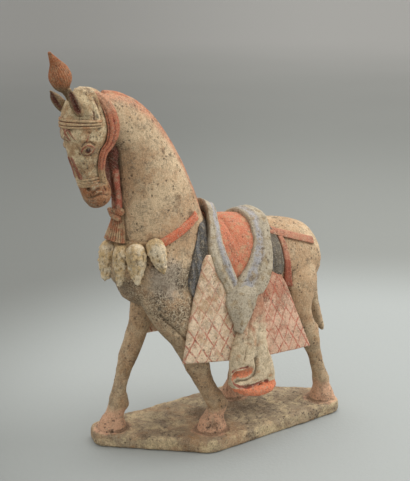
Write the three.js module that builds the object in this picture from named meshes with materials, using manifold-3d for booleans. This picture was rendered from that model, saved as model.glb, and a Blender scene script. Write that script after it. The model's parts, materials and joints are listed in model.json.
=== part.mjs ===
// A painted earthenware figure of a caparisoned horse, walking, made in one piece with its slab base.
// Millimetres. -X is the way the horse faces, -Y is its left side and +Z is up.
// The origin is on the underside of the slab, at its middle.
import * as THREE from "three";
import { mergeVertices } from "three/addons/utils/BufferGeometryUtils.js";
import Module from "manifold-3d";

const wasm = await Module();
wasm.setup();

// Driving dimensions
const SLAB_THICK = 13;
const SLAB_EDGE_ROUND = 3;
const GROUND = SLAB_THICK; // the hooves stand here
const LEG_SPREAD = 29; // from the middle plane to a leg's middle
const HOOF_SINK = 4; // how far a hoof's clay goes into the slab
const TRUNK_AXIS_Z = 165;
const CLOTH_THICK = 4;
const PANEL_THICK = 5;
const LEFT = -1;
const RIGHT = 1;

// The slab's outline, seen from above
const SLAB_OUTLINE = [
  [-128, 24],
  [-46, -55],
  [120, -46],
  [129, -11],
  [52, 56],
  [-119, 50],
];
const SLAB_CORNER_ROUND = 9;

// Helpers for solids

const v3 = (x, y, z) => new THREE.Vector3(x, y, z);

// Closed mesh data becomes a solid, turned right side out if its faces pointed inwards.
function solidFrom(positions, triangles) {
  const geometry = new THREE.BufferGeometry();
  geometry.setAttribute("position", new THREE.Float32BufferAttribute(positions, 3));
  geometry.setIndex(triangles);
  return solidOf(geometry);
}

function signedVolume(position, index) {
  const a = new THREE.Vector3();
  const b = new THREE.Vector3();
  const c = new THREE.Vector3();
  let sum = 0;
  for (let i = 0; i < index.length; i += 3) {
    a.fromArray(position, index[i] * 3);
    b.fromArray(position, index[i + 1] * 3);
    c.fromArray(position, index[i + 2] * 3);
    sum += a.dot(b.cross(c)) / 6;
  }
  return sum;
}

function solidOf(geometry) {
  const bare = geometry.clone();
  bare.deleteAttribute("normal");
  bare.deleteAttribute("uv");
  const merged = mergeVertices(bare, 1e-4);
  const position = merged.attributes.position.array;
  const kept = [];
  const index = merged.index.array;
  for (let i = 0; i < index.length; i += 3) {
    const [a, b, c] = [index[i], index[i + 1], index[i + 2]];
    if (a !== b && b !== c && a !== c) kept.push(a, b, c);
  }
  if (signedVolume(position, kept) < 0) kept.reverse();
  return new wasm.Manifold(
    new wasm.Mesh({
      numProp: 3,
      vertProperties: new Float32Array(position),
      triVerts: new Uint32Array(kept),
    }),
  );
}

const join = (solids) => solids.reduce((sum, s) => sum.add(s));

// Fills the small pockets that are shut in between the clay and what lies on it.
const filled = (solid) => join(solid.decompose().filter((shell) => shell.volume() > 0));

// Joins rings of equal length into a closed skin. Without caps, the last ring meets the first.
function skin(rings, startPole, endPole) {
  const sides = rings[0].length;
  const points = rings.flat();
  const triangles = [];
  const looped = !startPole;
  const count = looped ? rings.length : rings.length - 1;
  for (let i = 0; i < count; i++) {
    const here = i * sides;
    const next = ((i + 1) % rings.length) * sides;
    for (let j = 0; j < sides; j++) {
      const k = (j + 1) % sides;
      triangles.push(here + j, here + k, next + k, here + j, next + k, next + j);
    }
  }
  if (!looped) {
    const first = points.push(startPole) - 1;
    const last = points.push(endPole) - 1;
    const end = (rings.length - 1) * sides;
    for (let j = 0; j < sides; j++) {
      const k = (j + 1) % sides;
      triangles.push(j, first, k);
      triangles.push(end + j, end + k, last);
    }
  }
  return solidFrom(points.flatMap((p) => [p.x, p.y, p.z]), triangles);
}

// A smooth run through rows of numbers: row(t) with t from 0 to 1.
function runThrough(rows) {
  const curve = (from) =>
    new THREE.CatmullRomCurve3(
      rows.map((r) => v3(r[from] ?? 0, r[from + 1] ?? 0, r[from + 2] ?? 0)),
      false,
      "catmullrom",
      0.5,
    );
  const place = curve(0);
  const size = curve(3);
  return { place: (t) => place.getPoint(t), size: (t) => size.getPoint(t), along: (t) => place.getTangent(t) };
}

// A limb: rows are [x, y, z, half width across the horse, half depth, egg], from one end to the other.
// Egg above 0 makes the side that the depth direction points to wider.
function limbRing(run, t, sides) {
  const centre = run.place(t);
  const along = run.along(t);
  const size = run.size(t);
  const across = v3(0, 1, 0).addScaledVector(along, -along.y).normalize();
  const deep = along.clone().cross(across);
  const ring = [];
  for (let j = 0; j < sides; j++) {
    const angle = (2 * Math.PI * j) / sides;
    const c = Math.cos(angle);
    const s = Math.sin(angle);
    ring.push(
      centre
        .clone()
        .addScaledVector(across, size.x * c * (1 + size.z * s))
        .addScaledVector(deep, size.y * s),
    );
  }
  return { ring, centre, along, size };
}

function limb(rows, { steps, sides, capStart = 0.5, capEnd = 0.5 }) {
  const run = runThrough(rows);
  const rings = [];
  const capShare = 0.6;
  const cap = (t, way, length) => {
    const { ring, centre, along, size } = limbRing(run, t, sides);
    const out = Math.min(size.x, size.y) * length * Math.sin((capShare * Math.PI) / 2) * way;
    const narrow = Math.cos((capShare * Math.PI) / 2);
    return ring.map((p) => centre.clone().addScaledVector(along, out).addScaledVector(p.clone().sub(centre), narrow));
  };
  const pole = (t, way, length) => {
    const { centre, along, size } = limbRing(run, t, sides);
    return centre.clone().addScaledVector(along, Math.min(size.x, size.y) * length * way);
  };
  if (capStart > 0) rings.push(cap(0, -1, capStart));
  for (let i = 0; i <= steps; i++) rings.push(limbRing(run, i / steps, sides).ring);
  if (capEnd > 0) rings.push(cap(1, 1, capEnd));
  return skin(rings, pole(0, -1, capStart), pole(1, 1, capEnd));
}

// A sheet of even thickness over a grid of middle-surface points, grid[row][column].
function sheet(grid, thick) {
  const rows = grid.length;
  const columns = grid[0].length;
  const pick = (i, j) => grid[Math.min(rows - 1, Math.max(0, i))][Math.min(columns - 1, Math.max(0, j))];
  const face = (side) =>
    grid.map((row, i) =>
      row.map((p, j) => {
        const along = pick(i + 1, j).clone().sub(pick(i - 1, j));
        const across = pick(i, j + 1).clone().sub(pick(i, j - 1));
        return p.clone().addScaledVector(across.cross(along).normalize(), (side * thick) / 2);
      }),
    );
  const points = [...face(1).flat(), ...face(-1).flat()];
  const low = rows * columns;
  const triangles = [];
  const quad = (a, b, c, d) => triangles.push(a, b, c, a, c, d);
  for (let i = 0; i < rows - 1; i++)
    for (let j = 0; j < columns - 1; j++) {
      const a = i * columns + j;
      quad(a, a + 1, a + columns + 1, a + columns);
      quad(low + a, low + a + columns, low + a + columns + 1, low + a + 1);
    }
  for (let j = 0; j < columns - 1; j++) {
    const far = (rows - 1) * columns + j;
    quad(j, low + j, low + j + 1, j + 1);
    quad(far, far + 1, low + far + 1, low + far);
  }
  for (let i = 0; i < rows - 1; i++) {
    const a = i * columns;
    const b = a + columns - 1;
    quad(a, a + columns, low + a + columns, low + a);
    quad(b, low + b, low + b + columns, b + columns);
  }
  return solidFrom(points.flatMap((p) => [p.x, p.y, p.z]), triangles);
}

// A strap of flat section that lies on the clay: places and outward normals along it, its half width,
// how far it goes into the clay and how far it stands out.
function strap(places, { halfWidth, sink = 1.5, rise = 2.2, looped = false }) {
  const count = places.length;
  const rings = places.map(({ point, normal }, i) => {
    const before = places[looped ? (i + count - 1) % count : Math.max(0, i - 1)].point;
    const after = places[looped ? (i + 1) % count : Math.min(count - 1, i + 1)].point;
    const along = after.clone().sub(before).normalize();
    const side = along.clone().cross(normal).normalize();
    const up = side.clone().cross(along).normalize();
    const w = typeof halfWidth === "function" ? halfWidth(i / (count - 1)) : halfWidth;
    const corners = [
      [-w, -sink],
      [-w * 0.8, rise],
      [w * 0.8, rise],
      [w, -sink],
    ];
    return corners.map(([a, b]) => point.clone().addScaledVector(side, a).addScaledVector(up, b));
  });
  if (looped) return skin(rings);
  const middle = (ring) => ring.reduce((sum, p) => sum.add(p), v3(0, 0, 0)).divideScalar(ring.length);
  return skin(rings, middle(rings[0]), middle(rings[count - 1]));
}

// A turned form: profile is [radius, height] from the bottom up, stood at foot and pointed along up.
function turned(profile, sides, foot, up) {
  const geometry = new THREE.LatheGeometry(
    profile.map(([r, h]) => new THREE.Vector2(r, h)),
    sides,
  );
  const turn = new THREE.Quaternion().setFromUnitVectors(v3(0, 1, 0), up.clone().normalize());
  geometry.applyQuaternion(turn);
  geometry.translate(foot.x, foot.y, foot.z);
  return solidOf(geometry);
}

// The slab, with rounded corners and edges
function slab() {
  const corners = SLAB_OUTLINE.map(([x, y]) => new THREE.Vector2(x, y));
  const shape = new THREE.Shape();
  corners.forEach((corner, i) => {
    const before = corners[(i + corners.length - 1) % corners.length];
    const after = corners[(i + 1) % corners.length];
    const inset = SLAB_CORNER_ROUND;
    const start = corner.clone().add(before.clone().sub(corner).setLength(inset));
    const end = corner.clone().add(after.clone().sub(corner).setLength(inset));
    if (i === 0) shape.moveTo(start.x, start.y);
    else shape.lineTo(start.x, start.y);
    shape.quadraticCurveTo(corner.x, corner.y, end.x, end.y);
  });
  shape.closePath();
  const geometry = new THREE.ExtrudeGeometry(shape, {
    depth: SLAB_THICK - 2 * SLAB_EDGE_ROUND,
    bevelEnabled: true,
    bevelThickness: SLAB_EDGE_ROUND,
    bevelSize: SLAB_EDGE_ROUND,
    bevelOffset: -SLAB_EDGE_ROUND,
    bevelSegments: 1,
    curveSegments: 3,
  });
  geometry.translate(0, 0, SLAB_EDGE_ROUND);
  return solidOf(geometry);
}

// The bare horse

// [x, y, z, half width, half depth, egg] from the chest to the rump
const TRUNK = [
  [-106, 0, 184, 21, 22, 0],
  [-96, 0, 182, 30, 32, 0],
  [-78, 0, 176, 36.5, 38, 0],
  [-50, 0, 170, 39, 42, 0],
  [-15, 0, 164, 39, 43, 0],
  [20, 0, 161.5, 39, 42.5, 0],
  [55, 0, 161.5, 38, 43, 0],
  [78, 0, 160, 35.5, 40, 0],
  [94, 0, 156, 30.5, 36, 0],
  [104, 0, 154, 24.5, 30, 0],
  [111, 0, 153, 17.5, 22, 0],
];

// From the withers up to the poll. The depth direction points to the throat.
const NECK = [
  [-57, 0, 176, 34, 49, 0],
  [-66, 0, 206, 32, 45, 0.04],
  [-71.5, 0, 234, 28, 39.5, 0.08],
  [-77.5, 0, 259.5, 24.5, 33.5, 0.1],
  [-87.2, 0, 285.2, 21, 27.5, 0.1],
  [-100, 0, 304.8, 19, 23.5, 0.1],
  [-115.7, 0, 317.5, 17.5, 20, 0.05],
  [-131, 0, 324, 15, 16, 0],
];

// From the poll down to the lips. The depth direction points backwards, to the jaw.
const HEAD = [
  [-139, 0, 338, 13, 13, 0],
  [-141.5, 0, 328, 16.5, 19, 0],
  [-142.8, 0, 318, 18.5, 21.5, 0.04],
  [-143, 0, 309, 18.5, 21.5, 0.04],
  [-143.2, 0, 300.5, 18, 19.5, 0],
  [-144, 0, 292, 16, 15.7, 0],
  [-143, 0, 283, 13, 13.8, 0],
  [-141.3, 0, 274, 11.2, 12.5, -0.04],
  [-138.2, 0, 265, 10.5, 12.5, 0],
  [-134.5, 0, 256, 11.3, 13.3, 0],
  [-132, 0, 249.5, 11.8, 13, 0],
  [-130.4, 0, 245, 10.3, 11, 0],
];

// Legs from the body to the hoof: [x, z, half width, half depth]
const FORE_LEFT = [
  [-74, 172, 15, 22],
  [-73, 153, 17.5, 27],
  [-67, 133, 16, 23.5],
  [-56.5, 113, 13, 17.5],
  [-44.7, 88, 11, 12],
  [-40, 76, 10.2, 10.4],
  [-35.5, 64, 8.4, 8.8],
  [-29.7, 52, 8, 8.4],
  [-25, 43.5, 8.8, 9.6],
  [-22.8, 35.5, 8.6, 9],
  [-26, 28.5, 8.8, 9],
  [-28.3, 20, 12, 13],
  [-29.6, GROUND - HOOF_SINK, 14, 16],
];
const FORE_RIGHT = [
  [-64, 172, 15, 22],
  [-64, 156, 17, 23],
  [-67, 136, 14.5, 15.5],
  [-73.5, 111, 10.5, 10.7],
  [-80.5, 95, 9.8, 9.8],
  [-87, 80, 8.8, 8.4],
  [-92.7, 65, 7, 6.8],
  [-97, 50, 7, 6.9],
  [-97.7, 42, 8.6, 9.2],
  [-98.8, 35, 8.8, 9.3],
  [-102.3, 27, 8.6, 8.6],
  [-104.5, 19, 12, 12.7],
  [-106, GROUND - HOOF_SINK, 14, 15.5],
];
const HIND_LEFT = [
  [74, 168, 14, 22],
  [74, 148, 17.5, 26.5],
  [72, 129, 16.5, 21],
  [76, 108, 12.5, 14],
  [86, 91, 10.5, 11],
  [92, 78, 9.4, 9.6],
  [97.5, 63, 7.2, 6.8],
  [102.5, 47, 7, 6.9],
  [106.2, 36, 8.2, 8.4],
  [107.3, 27.5, 8.6, 8.6],
  [108.3, 19.5, 11.5, 12],
  [109, GROUND - HOOF_SINK, 14, 15.5],
];
const HIND_RIGHT = [
  [78, 168, 14, 22],
  [77, 148, 17.5, 26.5],
  [72, 129, 16, 21],
  [70, 108, 12, 14],
  [66, 91, 10.5, 11.3],
  [62, 78, 9.4, 10],
  [55, 63, 7.4, 7.4],
  [47, 47, 7.2, 7.4],
  [43, 36.5, 8.2, 8.7],
  [41.5, 28, 8.6, 8.8],
  [40, 19.5, 11.5, 12.5],
  [38.5, GROUND - HOOF_SINK, 14, 15.5],
];

const TAIL = [
  [111, 0, 158, 8, 7, 0],
  [117, 0, 137, 7, 7, 0],
  [121.5, 0, 115, 6, 6, 0],
  [127, 0, 95, 5.5, 5.5, 0],
  [132.5, 0, 80, 4, 4, 0],
  [135, 0, 74.5, 2.8, 2.8, 0],
];

// How far out the first rows of a leg are, as shares of the spread
const TOP_SPREAD = [0.45, 0.76, 0.93];

function leg(rows, side) {
  const placed = rows.map(([x, z, width, depth], i) => {
    const spread = LEG_SPREAD * (TOP_SPREAD[i] ?? 1);
    return [x, side * spread, z, width, depth, 0];
  });
  return limb(placed, { steps: 13, sides: 8, capEnd: 0 });
}

// Brow bones over the eyes
const EYE = { x: -148.5, y: 15.5, z: 294.5 };
const brow = (side) =>
  limb(
    [
      [EYE.x - 4.5, side * (EYE.y - 4), EYE.z + 4, 3, 3, 0],
      [EYE.x, side * (EYE.y - 0.6), EYE.z + 1, 4.4, 5.5, 0],
      [EYE.x + 5.5, side * (EYE.y - 2), EYE.z - 1, 2.6, 3, 0],
    ],
    { steps: 3, sides: 6 },
  );

const bareHorse = join([
  limb(TRUNK, { steps: 14, sides: 20, capStart: 0.6, capEnd: 0.4 }),
  limb(NECK, { steps: 12, sides: 16 }),
  limb(HEAD, { steps: 14, sides: 14, capStart: 0.5, capEnd: 0.5 }),
  brow(LEFT),
  brow(RIGHT),
  leg(FORE_LEFT, LEFT),
  leg(FORE_RIGHT, RIGHT),
  leg(HIND_LEFT, LEFT),
  leg(HIND_RIGHT, RIGHT),
  limb(TAIL, { steps: 5, sides: 7 }),
]);

// Places on the clay

const bareClay = new THREE.Mesh(meshOf(bareHorse), new THREE.MeshBasicMaterial({ side: THREE.DoubleSide }));
const caster = new THREE.Raycaster();

function lie(from, towards) {
  caster.set(from, towards.clone().normalize());
  const hit = caster.intersectObject(bareClay)[0];
  return { point: hit.point, normal: hit.face.normal.clone() };
}

// On a flank at x, z
const onFlank = (side, x, z) => lie(v3(x, side * 150, z), v3(0, -side, 0));

// Round the barrel at x: an angle of 0 is the spine, -90 the left flank and 90 the right.
function onBarrel(x, angle) {
  const a = (angle * Math.PI) / 180;
  const out = v3(0, Math.sin(a), Math.cos(a));
  const { point } = lie(v3(x, 0, TRUNK_AXIS_Z).addScaledVector(out, 150), out.clone().negate());
  return { point, normal: out };
}

// A row that starts with an angle is repeated on the other side of the spine.
const mirrored = (rows) => [...rows.slice(1).reverse().map(([angle, ...rest]) => [-angle, ...rest]), ...rows];

// A smooth path through rows of numbers, as count rows.
function along(rows, count) {
  const run = runThrough(rows);
  return Array.from({ length: count }, (_, i) => [
    ...run.place(i / (count - 1)).toArray(),
    ...run.size(i / (count - 1)).toArray(),
  ]);
}

function evenNormals(places) {
  return places.map(({ point }, i) => {
    const normal = v3(0, 0, 0);
    for (let k = -1; k <= 1; k++) normal.add(places[Math.min(places.length - 1, Math.max(0, i + k))].normal);
    return { point, normal: normal.normalize() };
  });
}

// Bridle

const headRun = runThrough(HEAD);
const neckRun = runThrough(NECK);

// Part of a ring of a limb, from one angle to another in degrees, with outward normals.
// A tilt lowers its back end.
function arcOf(run, t, from, to, count, tilt = 0) {
  const { ring, centre } = limbRing(run, t, 72);
  return Array.from({ length: count }, (_, i) => {
    const degrees = from + ((to - from) * i) / (count - 1);
    const point = ring[((Math.round(degrees / 5) % 72) + 72) % 72];
    const lowered = point.clone().setZ(point.z - tilt * (point.x - centre.x));
    return { point: lowered, normal: point.clone().sub(centre).normalize() };
  });
}

// The front of the face is at 270 degrees and the near cheek at 180.
const browBand = strap(arcOf(headRun, 0.175, 165, 375, 9), { halfWidth: 4.2, rise: 2.2 });
const noseBand = strap(arcOf(headRun, 0.757, 150, 390, 9, 0.22), { halfWidth: 3.8, rise: 2.4 });

// From behind the ear round the jaw and down to the nose band: [x, distance from the middle plane, z, half depth]
const CHEEK_STRAP = [
  [-136, 9, 341, 3],
  [-128, 15, 329, 3.4],
  [-121.5, 17.5, 317, 3.8],
  [-121, 17, 305, 3.8],
  [-126, 16, 297, 3.4],
  [-132, 14.5, 290, 3],
  [-134.5, 12, 280, 3],
  [-133.5, 10.5, 270, 2.6],
];
const cheekStrap = (side) =>
  limb(CHEEK_STRAP.map(([x, y, z, depth]) => [x, side * y, z, 2.8, depth, 0]), { steps: 9, sides: 6 });

// Head plume: a stem and a bulb that ends in a bent tip
const PLUME = [
  [-151, 0, 328, 4.2, 4.2, 0],
  [-156, 0, 336, 3.4, 3.4, 0],
  [-160, 0, 342.5, 3.8, 3.8, 0],
  [-163, 0, 348, 8, 8, 0],
  [-165, 0, 354.5, 9.9, 9.9, 0],
  [-167, 0, 361, 8.3, 8.3, 0],
  [-169.5, 0, 366.5, 5, 5, 0],
  [-172.5, 0, 371.5, 2.7, 2.7, 0],
  [-174.5, 0, 375, 1.4, 1.4, 0],
];

// Each ear is a leaf with a hollow front. The right one leans further out.
function ear(side) {
  const y = side * 13;
  const fall = side === RIGHT ? 4.5 : 0;
  const leaf = limb(
    [
      [-150, y, 318, 4, 4, 0],
      [-155, y, 325, 6, 5.2, 0],
      [-159 - fall / 4, y, 333 - fall / 3, 6.2, 5, 0],
      [-162.5 - fall / 2, y * 1.08, 340.5 - fall * 0.7, 4.2, 3.6, 0],
      [-165 - fall / 2, y * 1.15, 346 - fall, 1.3, 1.3, 0],
    ],
    { steps: 6, sides: 8 },
  );
  const hollow = limb(
    [
      [-160, y, 325.5 - fall / 3, 1.5, 1.5, 0],
      [-163.3 - fall / 3, y * 1.04, 331.5 - fall / 2, 3.6, 2.8, 0],
      [-166.5 - fall / 2, y * 1.1, 339.5 - fall, 1.4, 1.4, 0],
    ],
    { steps: 2, sides: 6 },
  );
  return leaf.subtract(hollow);
}

// The hogged mane runs along the crest, to a forelock between the ears.
const mane = strap(
  [0.22, 0.34, 0.46, 0.57, 0.67, 0.77, 0.87, 0.97].map((t) => {
    const { ring, centre } = limbRing(neckRun, t, 4);
    return { point: ring[3], normal: ring[3].clone().sub(centre).normalize() };
  }),
  { halfWidth: (t) => 4.4 + 0.8 * Math.sin(Math.PI * t), sink: 4, rise: 2.2 },
);

// Neck rope: two strands down the throat, a ring and a tassel
const ROPE = [
  [-119, 291, 3.2],
  [-114.5, 278, 3],
  [-113, 262, 3],
  [-111.5, 244, 3],
  [-111.5, 229, 3.2],
];
const strand = (side) => limb(ROPE.map(([x, z, r]) => [x, side * 3.4, z, r, r, 0]), { steps: 5, sides: 6 });
// The ring is a two-lobed knot across the throat: [radius, distance from the middle plane]
const KNOT = [
  [0, -9],
  [4, -7],
  [5.4, -3.6],
  [4.4, 0],
  [5.4, 3.6],
  [4, 7],
  [0, 9],
];
const throatTassel = join([
  strand(LEFT),
  strand(RIGHT),
  turned(KNOT, 7, v3(-114, 0, 227.5), v3(0, 1, 0)),
  limb(
    [
      [-112, 0, 226, 8, 5, 0],
      [-113, 0, 217, 10.5, 6.5, 0],
      [-115.5, 0, 206, 14, 8, 0],
    ],
    { steps: 3, sides: 10, capEnd: 0.15 },
  ),
]);

// Breast harness

// One tassel hangs near the middle of the chest and two at each side: [top], [tip]
const TASSELS = [
  [[-114, -4, 204], [-118.5, -4.5, 168]],
  [[-110, -20.5, 206], [-111.5, -24, 170.5]],
  [[-111, 16.5, 205], [-117.5, 20, 167]],
  [[-95.5, -32.5, 210], [-88, -38, 181]],
  [[-95.5, 32.5, 210], [-88, 38, 181]],
];
const TASSEL_PROFILE = [
  [0, -1],
  [3, -0.86],
  [6.2, -0.6],
  [7.4, -0.32],
  [5.8, -0.09],
  [0, 0.02],
];
const tassels = TASSELS.map(([top, tip]) => {
  const foot = v3(...top);
  const up = foot.clone().sub(v3(...tip));
  const profile = TASSEL_PROFILE.map(([radius, share]) => [radius, share * up.length()]);
  return turned(profile, 7, foot, up);
});

// [x, z] along a flank, from the tassels to the saddle cloth
const BREAST_STRAP = [
  [-90, 203],
  [-80, 207],
  [-68, 212.5],
  [-56, 218],
  [-44, 223.5],
];
const breastStrap = (side) =>
  strap(evenNormals(BREAST_STRAP.map(([x, z]) => onFlank(side, x, z))), { halfWidth: 3.6, sink: 2.5, rise: 3 });

// The same strap crosses the chest behind the tassels.
const CHEST_MIDDLE = v3(-72, 0, 203);
const chestStrap = strap(
  [-75, -55, -35, -15, 15, 35, 55, 75].map((degrees) => {
    const a = (degrees * Math.PI) / 180;
    const out = v3(-Math.cos(a), Math.sin(a), 0);
    const { point } = lie(CHEST_MIDDLE.clone().addScaledVector(out, 100), out.clone().negate());
    return { point, normal: out };
  }),
  { halfWidth: 3.6, sink: 3, rise: 3 },
);

// Saddle cloths

// Rows run from the spine down both flanks: [angle, x of the front edge, x of the rear edge]
const UNDERCLOTH = [
  [0, -22, 52],
  [25, -30, 48],
  [50, -44, 46],
  [72, -54, 50],
  [95, -60, 53],
];
const undercloth = sheet(
  along(mirrored(UNDERCLOTH), 15).map(([angle, front, rear]) =>
    Array.from({ length: 8 }, (_, j) => {
      const { point, normal } = onBarrel(front + ((rear - front) * j) / 7, angle);
      return point.addScaledVector(normal, 0.6);
    }),
  ),
  CLOTH_THICK,
);

// The seat is a pad that narrows down each flank to a point: [angle, front, rear, lift]
const SEAT = [
  [0, -22, 46, 8],
  [25, -27, 42, 7],
  [50, -32, 34, 5],
  [70, -28, 22, 3.5],
  [88, -18, 4, 2.6],
];
const seat = sheet(
  along(mirrored(SEAT), 13).map(([angle, front, rear, lift]) =>
    Array.from({ length: 7 }, (_, j) => {
      const { point, normal } = onBarrel(front + ((rear - front) * j) / 6, angle);
      return point.addScaledVector(normal, lift - 3);
    }),
  ),
  8,
);

// Twisted bands of cloth: [angle, x, half width, lift] from the spine down both flanks
const FRONT_BAND = [
  [0, -15, 5.5, 21],
  [16, -17, 6, 15],
  [34, -26, 7, 6],
  [52, -35, 6.5, 5],
  [69, -31, 6, 5],
  [84, -22, 6, 5],
  [98, -8, 6, 5.5],
];
const REAR_BAND = [
  [0, 30, 8.5, 14],
  [18, 32, 8.5, 12],
  [36, 34, 8, 8.5],
  [54, 30, 8, 6.5],
  [71, 20, 8.5, 7],
  [86, 4, 9.5, 8],
  [98, -9, 11, 9],
];
const BAND_STEPS = 22;
function band(table) {
  const rows = along(mirrored(table), BAND_STEPS + 1);
  const places = rows.map(([angle, x]) => onBarrel(x, angle));
  places.forEach(({ point, normal }, i) => point.addScaledVector(normal, rows[i][3] - 3));
  return strap(places, { halfWidth: (t) => rows[Math.round(t * BAND_STEPS)][2], sink: 9, rise: 3 });
}

// A side flap spreads downwards: [z, outward reach, x of the front edge, x of the rear edge]
const FLAP = [
  [182, 38, -47, 20],
  [165, 42, -51, 31],
  [140, 47, -58, 45],
  [115, 52, -66, 59],
  [96, 54, -72, 69.5],
  [86, 54.5, -75, 75],
];
const flap = (side) =>
  sheet(
    along(FLAP, 7).map(([z, reach, front, rear], i) =>
      Array.from({ length: 8 }, (_, j) => {
        const t = j / 7;
        const edge = (2 * t - 1) ** 2;
        const low = (i / 6) ** 2;
        const droop = low * (8 * (1 - t) ** 2 - 5 * t * t);
        return v3(front + (rear - front) * t, side * (reach - 7 * edge), z + droop);
      }),
    ),
    PANEL_THICK,
  );

// The bands end in a point over the flap: [z, x of the middle, half width, outward reach]
const CLOTH_END = [
  [158, -8, 12, 49],
  [144, -10, 15, 52],
  [130, -10, 13, 54],
  [120, -11, 8, 55.5],
  [112, -12, 2, 56.5],
];
const clothEnd = (side) =>
  sheet(
    along(CLOTH_END, 6).map(([z, x, half, reach]) =>
      [-1, -0.4, 0.4, 1].map((t) => v3(x + t * half, side * (reach - 1.5 * t * t), z)),
    ),
    CLOTH_THICK,
  );

// The gathered cloth that hangs over the left flap, and its curled lower end
const GATHER = [
  [15, -50, 160, 6, 9, 0],
  [9, -54, 143, 7, 12, 0],
  [1, -57.5, 124, 7.5, 15, 0],
  [-5, -59.5, 105, 8, 19, 0],
  [-7, -60, 90, 8.5, 22, 0],
  [-6, -60, 76, 9, 24, 0],
  [-3, -60, 65, 8, 23, 0],
];
const curl = (rows) => limb(rows, { steps: 6, sides: 7, capStart: 0.5, capEnd: 0.5 });
const gather = limb(GATHER, { steps: 8, sides: 12, capStart: 0.4, capEnd: 0.4 }).subtract(
  curl([
    [-34, -60, 81, 6, 4.5, 0],
    [-22, -65, 79, 5, 5.5, 0],
    [-8, -68.5, 79, 4, 5, 0],
  ]),
);
const lowerLip = curl([
  [-28, -59, 70, 4.5, 4.5, 0],
  [-16, -64, 61, 4.5, 4.5, 0],
  [0, -66, 57, 4, 4.5, 0],
  [14, -65, 58, 4, 4.5, 0],
  [20, -61, 61, 3.5, 3.5, 0],
]);

// Crupper

const CRUPPER = [
  [40, 199],
  [52, 194.6],
  [66, 190],
  [80, 185.5],
  [92, 181.5],
];
const CRUPPER_DROP = [
  [50.5, 192],
  [51.5, 178],
  [52.5, 160],
  [53.8, 143],
];
const crupper = (side) =>
  join([
    strap(evenNormals(CRUPPER.map(([x, z]) => onFlank(side, x, z))), { halfWidth: 3.2, sink: 2.5, rise: 2.8 }),
    strap(evenNormals(CRUPPER_DROP.map(([x, z]) => onFlank(side, x, z))), {
      halfWidth: (t) => 2.8 + 1.8 * t,
      sink: 2.5,
      rise: 3,
    }),
  ]);

const bothSides = (make) => [make(LEFT), make(RIGHT)];

const model = filled(join([
  bareHorse,
  slab(),
  browBand,
  noseBand,
  ...bothSides(cheekStrap),
  limb(PLUME, { steps: 11, sides: 10, capStart: 0.3, capEnd: 0.8 }),
  ...bothSides(ear),
  mane,
  throatTassel,
  ...tassels,
  ...bothSides(breastStrap),
  chestStrap,
  undercloth,
  seat,
  band(FRONT_BAND),
  band(REAR_BAND),
  ...bothSides(flap),
  ...bothSides(clothEnd),
  gather,
  lowerLip,
  ...bothSides(crupper),
]));

function meshOf(solid) {
  const { vertProperties, triVerts } = solid.getMesh();
  const geometry = new THREE.BufferGeometry();
  geometry.setAttribute("position", new THREE.BufferAttribute(new Float32Array(vertProperties), 3));
  geometry.setIndex(new THREE.BufferAttribute(new Uint32Array(triVerts), 1));
  return geometry;
}

const clay = new THREE.MeshStandardMaterial({ color: 0xb99f7b, roughness: 0.92, metalness: 0 });
const figure = new THREE.Mesh(meshOf(model), clay);
figure.name = "horse_figure";

const group = new THREE.Group();
group.add(figure);
export default group;
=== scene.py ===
import json
import math

import bpy
import numpy as np
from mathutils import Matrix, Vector

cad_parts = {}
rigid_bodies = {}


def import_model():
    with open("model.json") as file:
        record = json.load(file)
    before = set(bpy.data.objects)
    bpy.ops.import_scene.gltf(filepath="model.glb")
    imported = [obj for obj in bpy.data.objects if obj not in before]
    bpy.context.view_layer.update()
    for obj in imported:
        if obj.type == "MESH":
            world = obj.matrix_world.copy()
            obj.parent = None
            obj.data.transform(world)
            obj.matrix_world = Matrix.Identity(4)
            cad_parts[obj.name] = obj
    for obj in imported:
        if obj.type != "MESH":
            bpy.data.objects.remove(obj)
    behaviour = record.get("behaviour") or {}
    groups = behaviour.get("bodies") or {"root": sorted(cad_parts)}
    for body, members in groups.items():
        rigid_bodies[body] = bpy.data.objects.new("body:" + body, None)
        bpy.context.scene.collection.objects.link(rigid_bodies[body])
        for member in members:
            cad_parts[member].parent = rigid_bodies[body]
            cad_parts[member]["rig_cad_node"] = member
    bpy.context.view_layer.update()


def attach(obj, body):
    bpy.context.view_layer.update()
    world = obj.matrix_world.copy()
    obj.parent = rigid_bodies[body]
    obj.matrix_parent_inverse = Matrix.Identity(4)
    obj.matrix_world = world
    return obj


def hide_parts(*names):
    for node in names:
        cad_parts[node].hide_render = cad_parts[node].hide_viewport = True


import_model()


# Camera. It stands in front of the figure's left shoulder and a little above it, and looks past the saddle.
# A long lens keeps the legs nearly parallel, as in the photograph.
LOOKS_AT = Vector((-0.0145, 0.0035, 0.190))
CAMERA_AZIMUTH = math.radians(-35)
CAMERA_HEIGHT = math.radians(14.5)
CAMERA_DISTANCE = 1.080
PICTURE_HIGH = 481
FOCAL_PIXELS = 1136.84
SENSOR = 36

camera_data = bpy.data.cameras.new("camera")
camera_data.sensor_width = SENSOR
camera_data.lens = FOCAL_PIXELS * SENSOR / PICTURE_HIGH
camera = bpy.data.objects.new("camera", camera_data)
bpy.context.scene.collection.objects.link(camera)
towards_camera = Vector((
    math.sin(CAMERA_AZIMUTH) * math.cos(CAMERA_HEIGHT),
    -math.cos(CAMERA_AZIMUTH) * math.cos(CAMERA_HEIGHT),
    math.sin(CAMERA_HEIGHT),
))
camera.location = LOOKS_AT + CAMERA_DISTANCE * towards_camera
camera.rotation_euler = (-towards_camera).to_track_quat("-Z", "Y").to_euler()
bpy.context.scene.camera = camera
bpy.context.scene.view_settings.view_transform = "Standard"


# Studio. A flat round sheet of pale card, so wide that no edge shows, is floor and background in one. One
# soft box stands at the picture's right, another hangs over the back, and the room's light fills the shadows.
MM = 0.001


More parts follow.
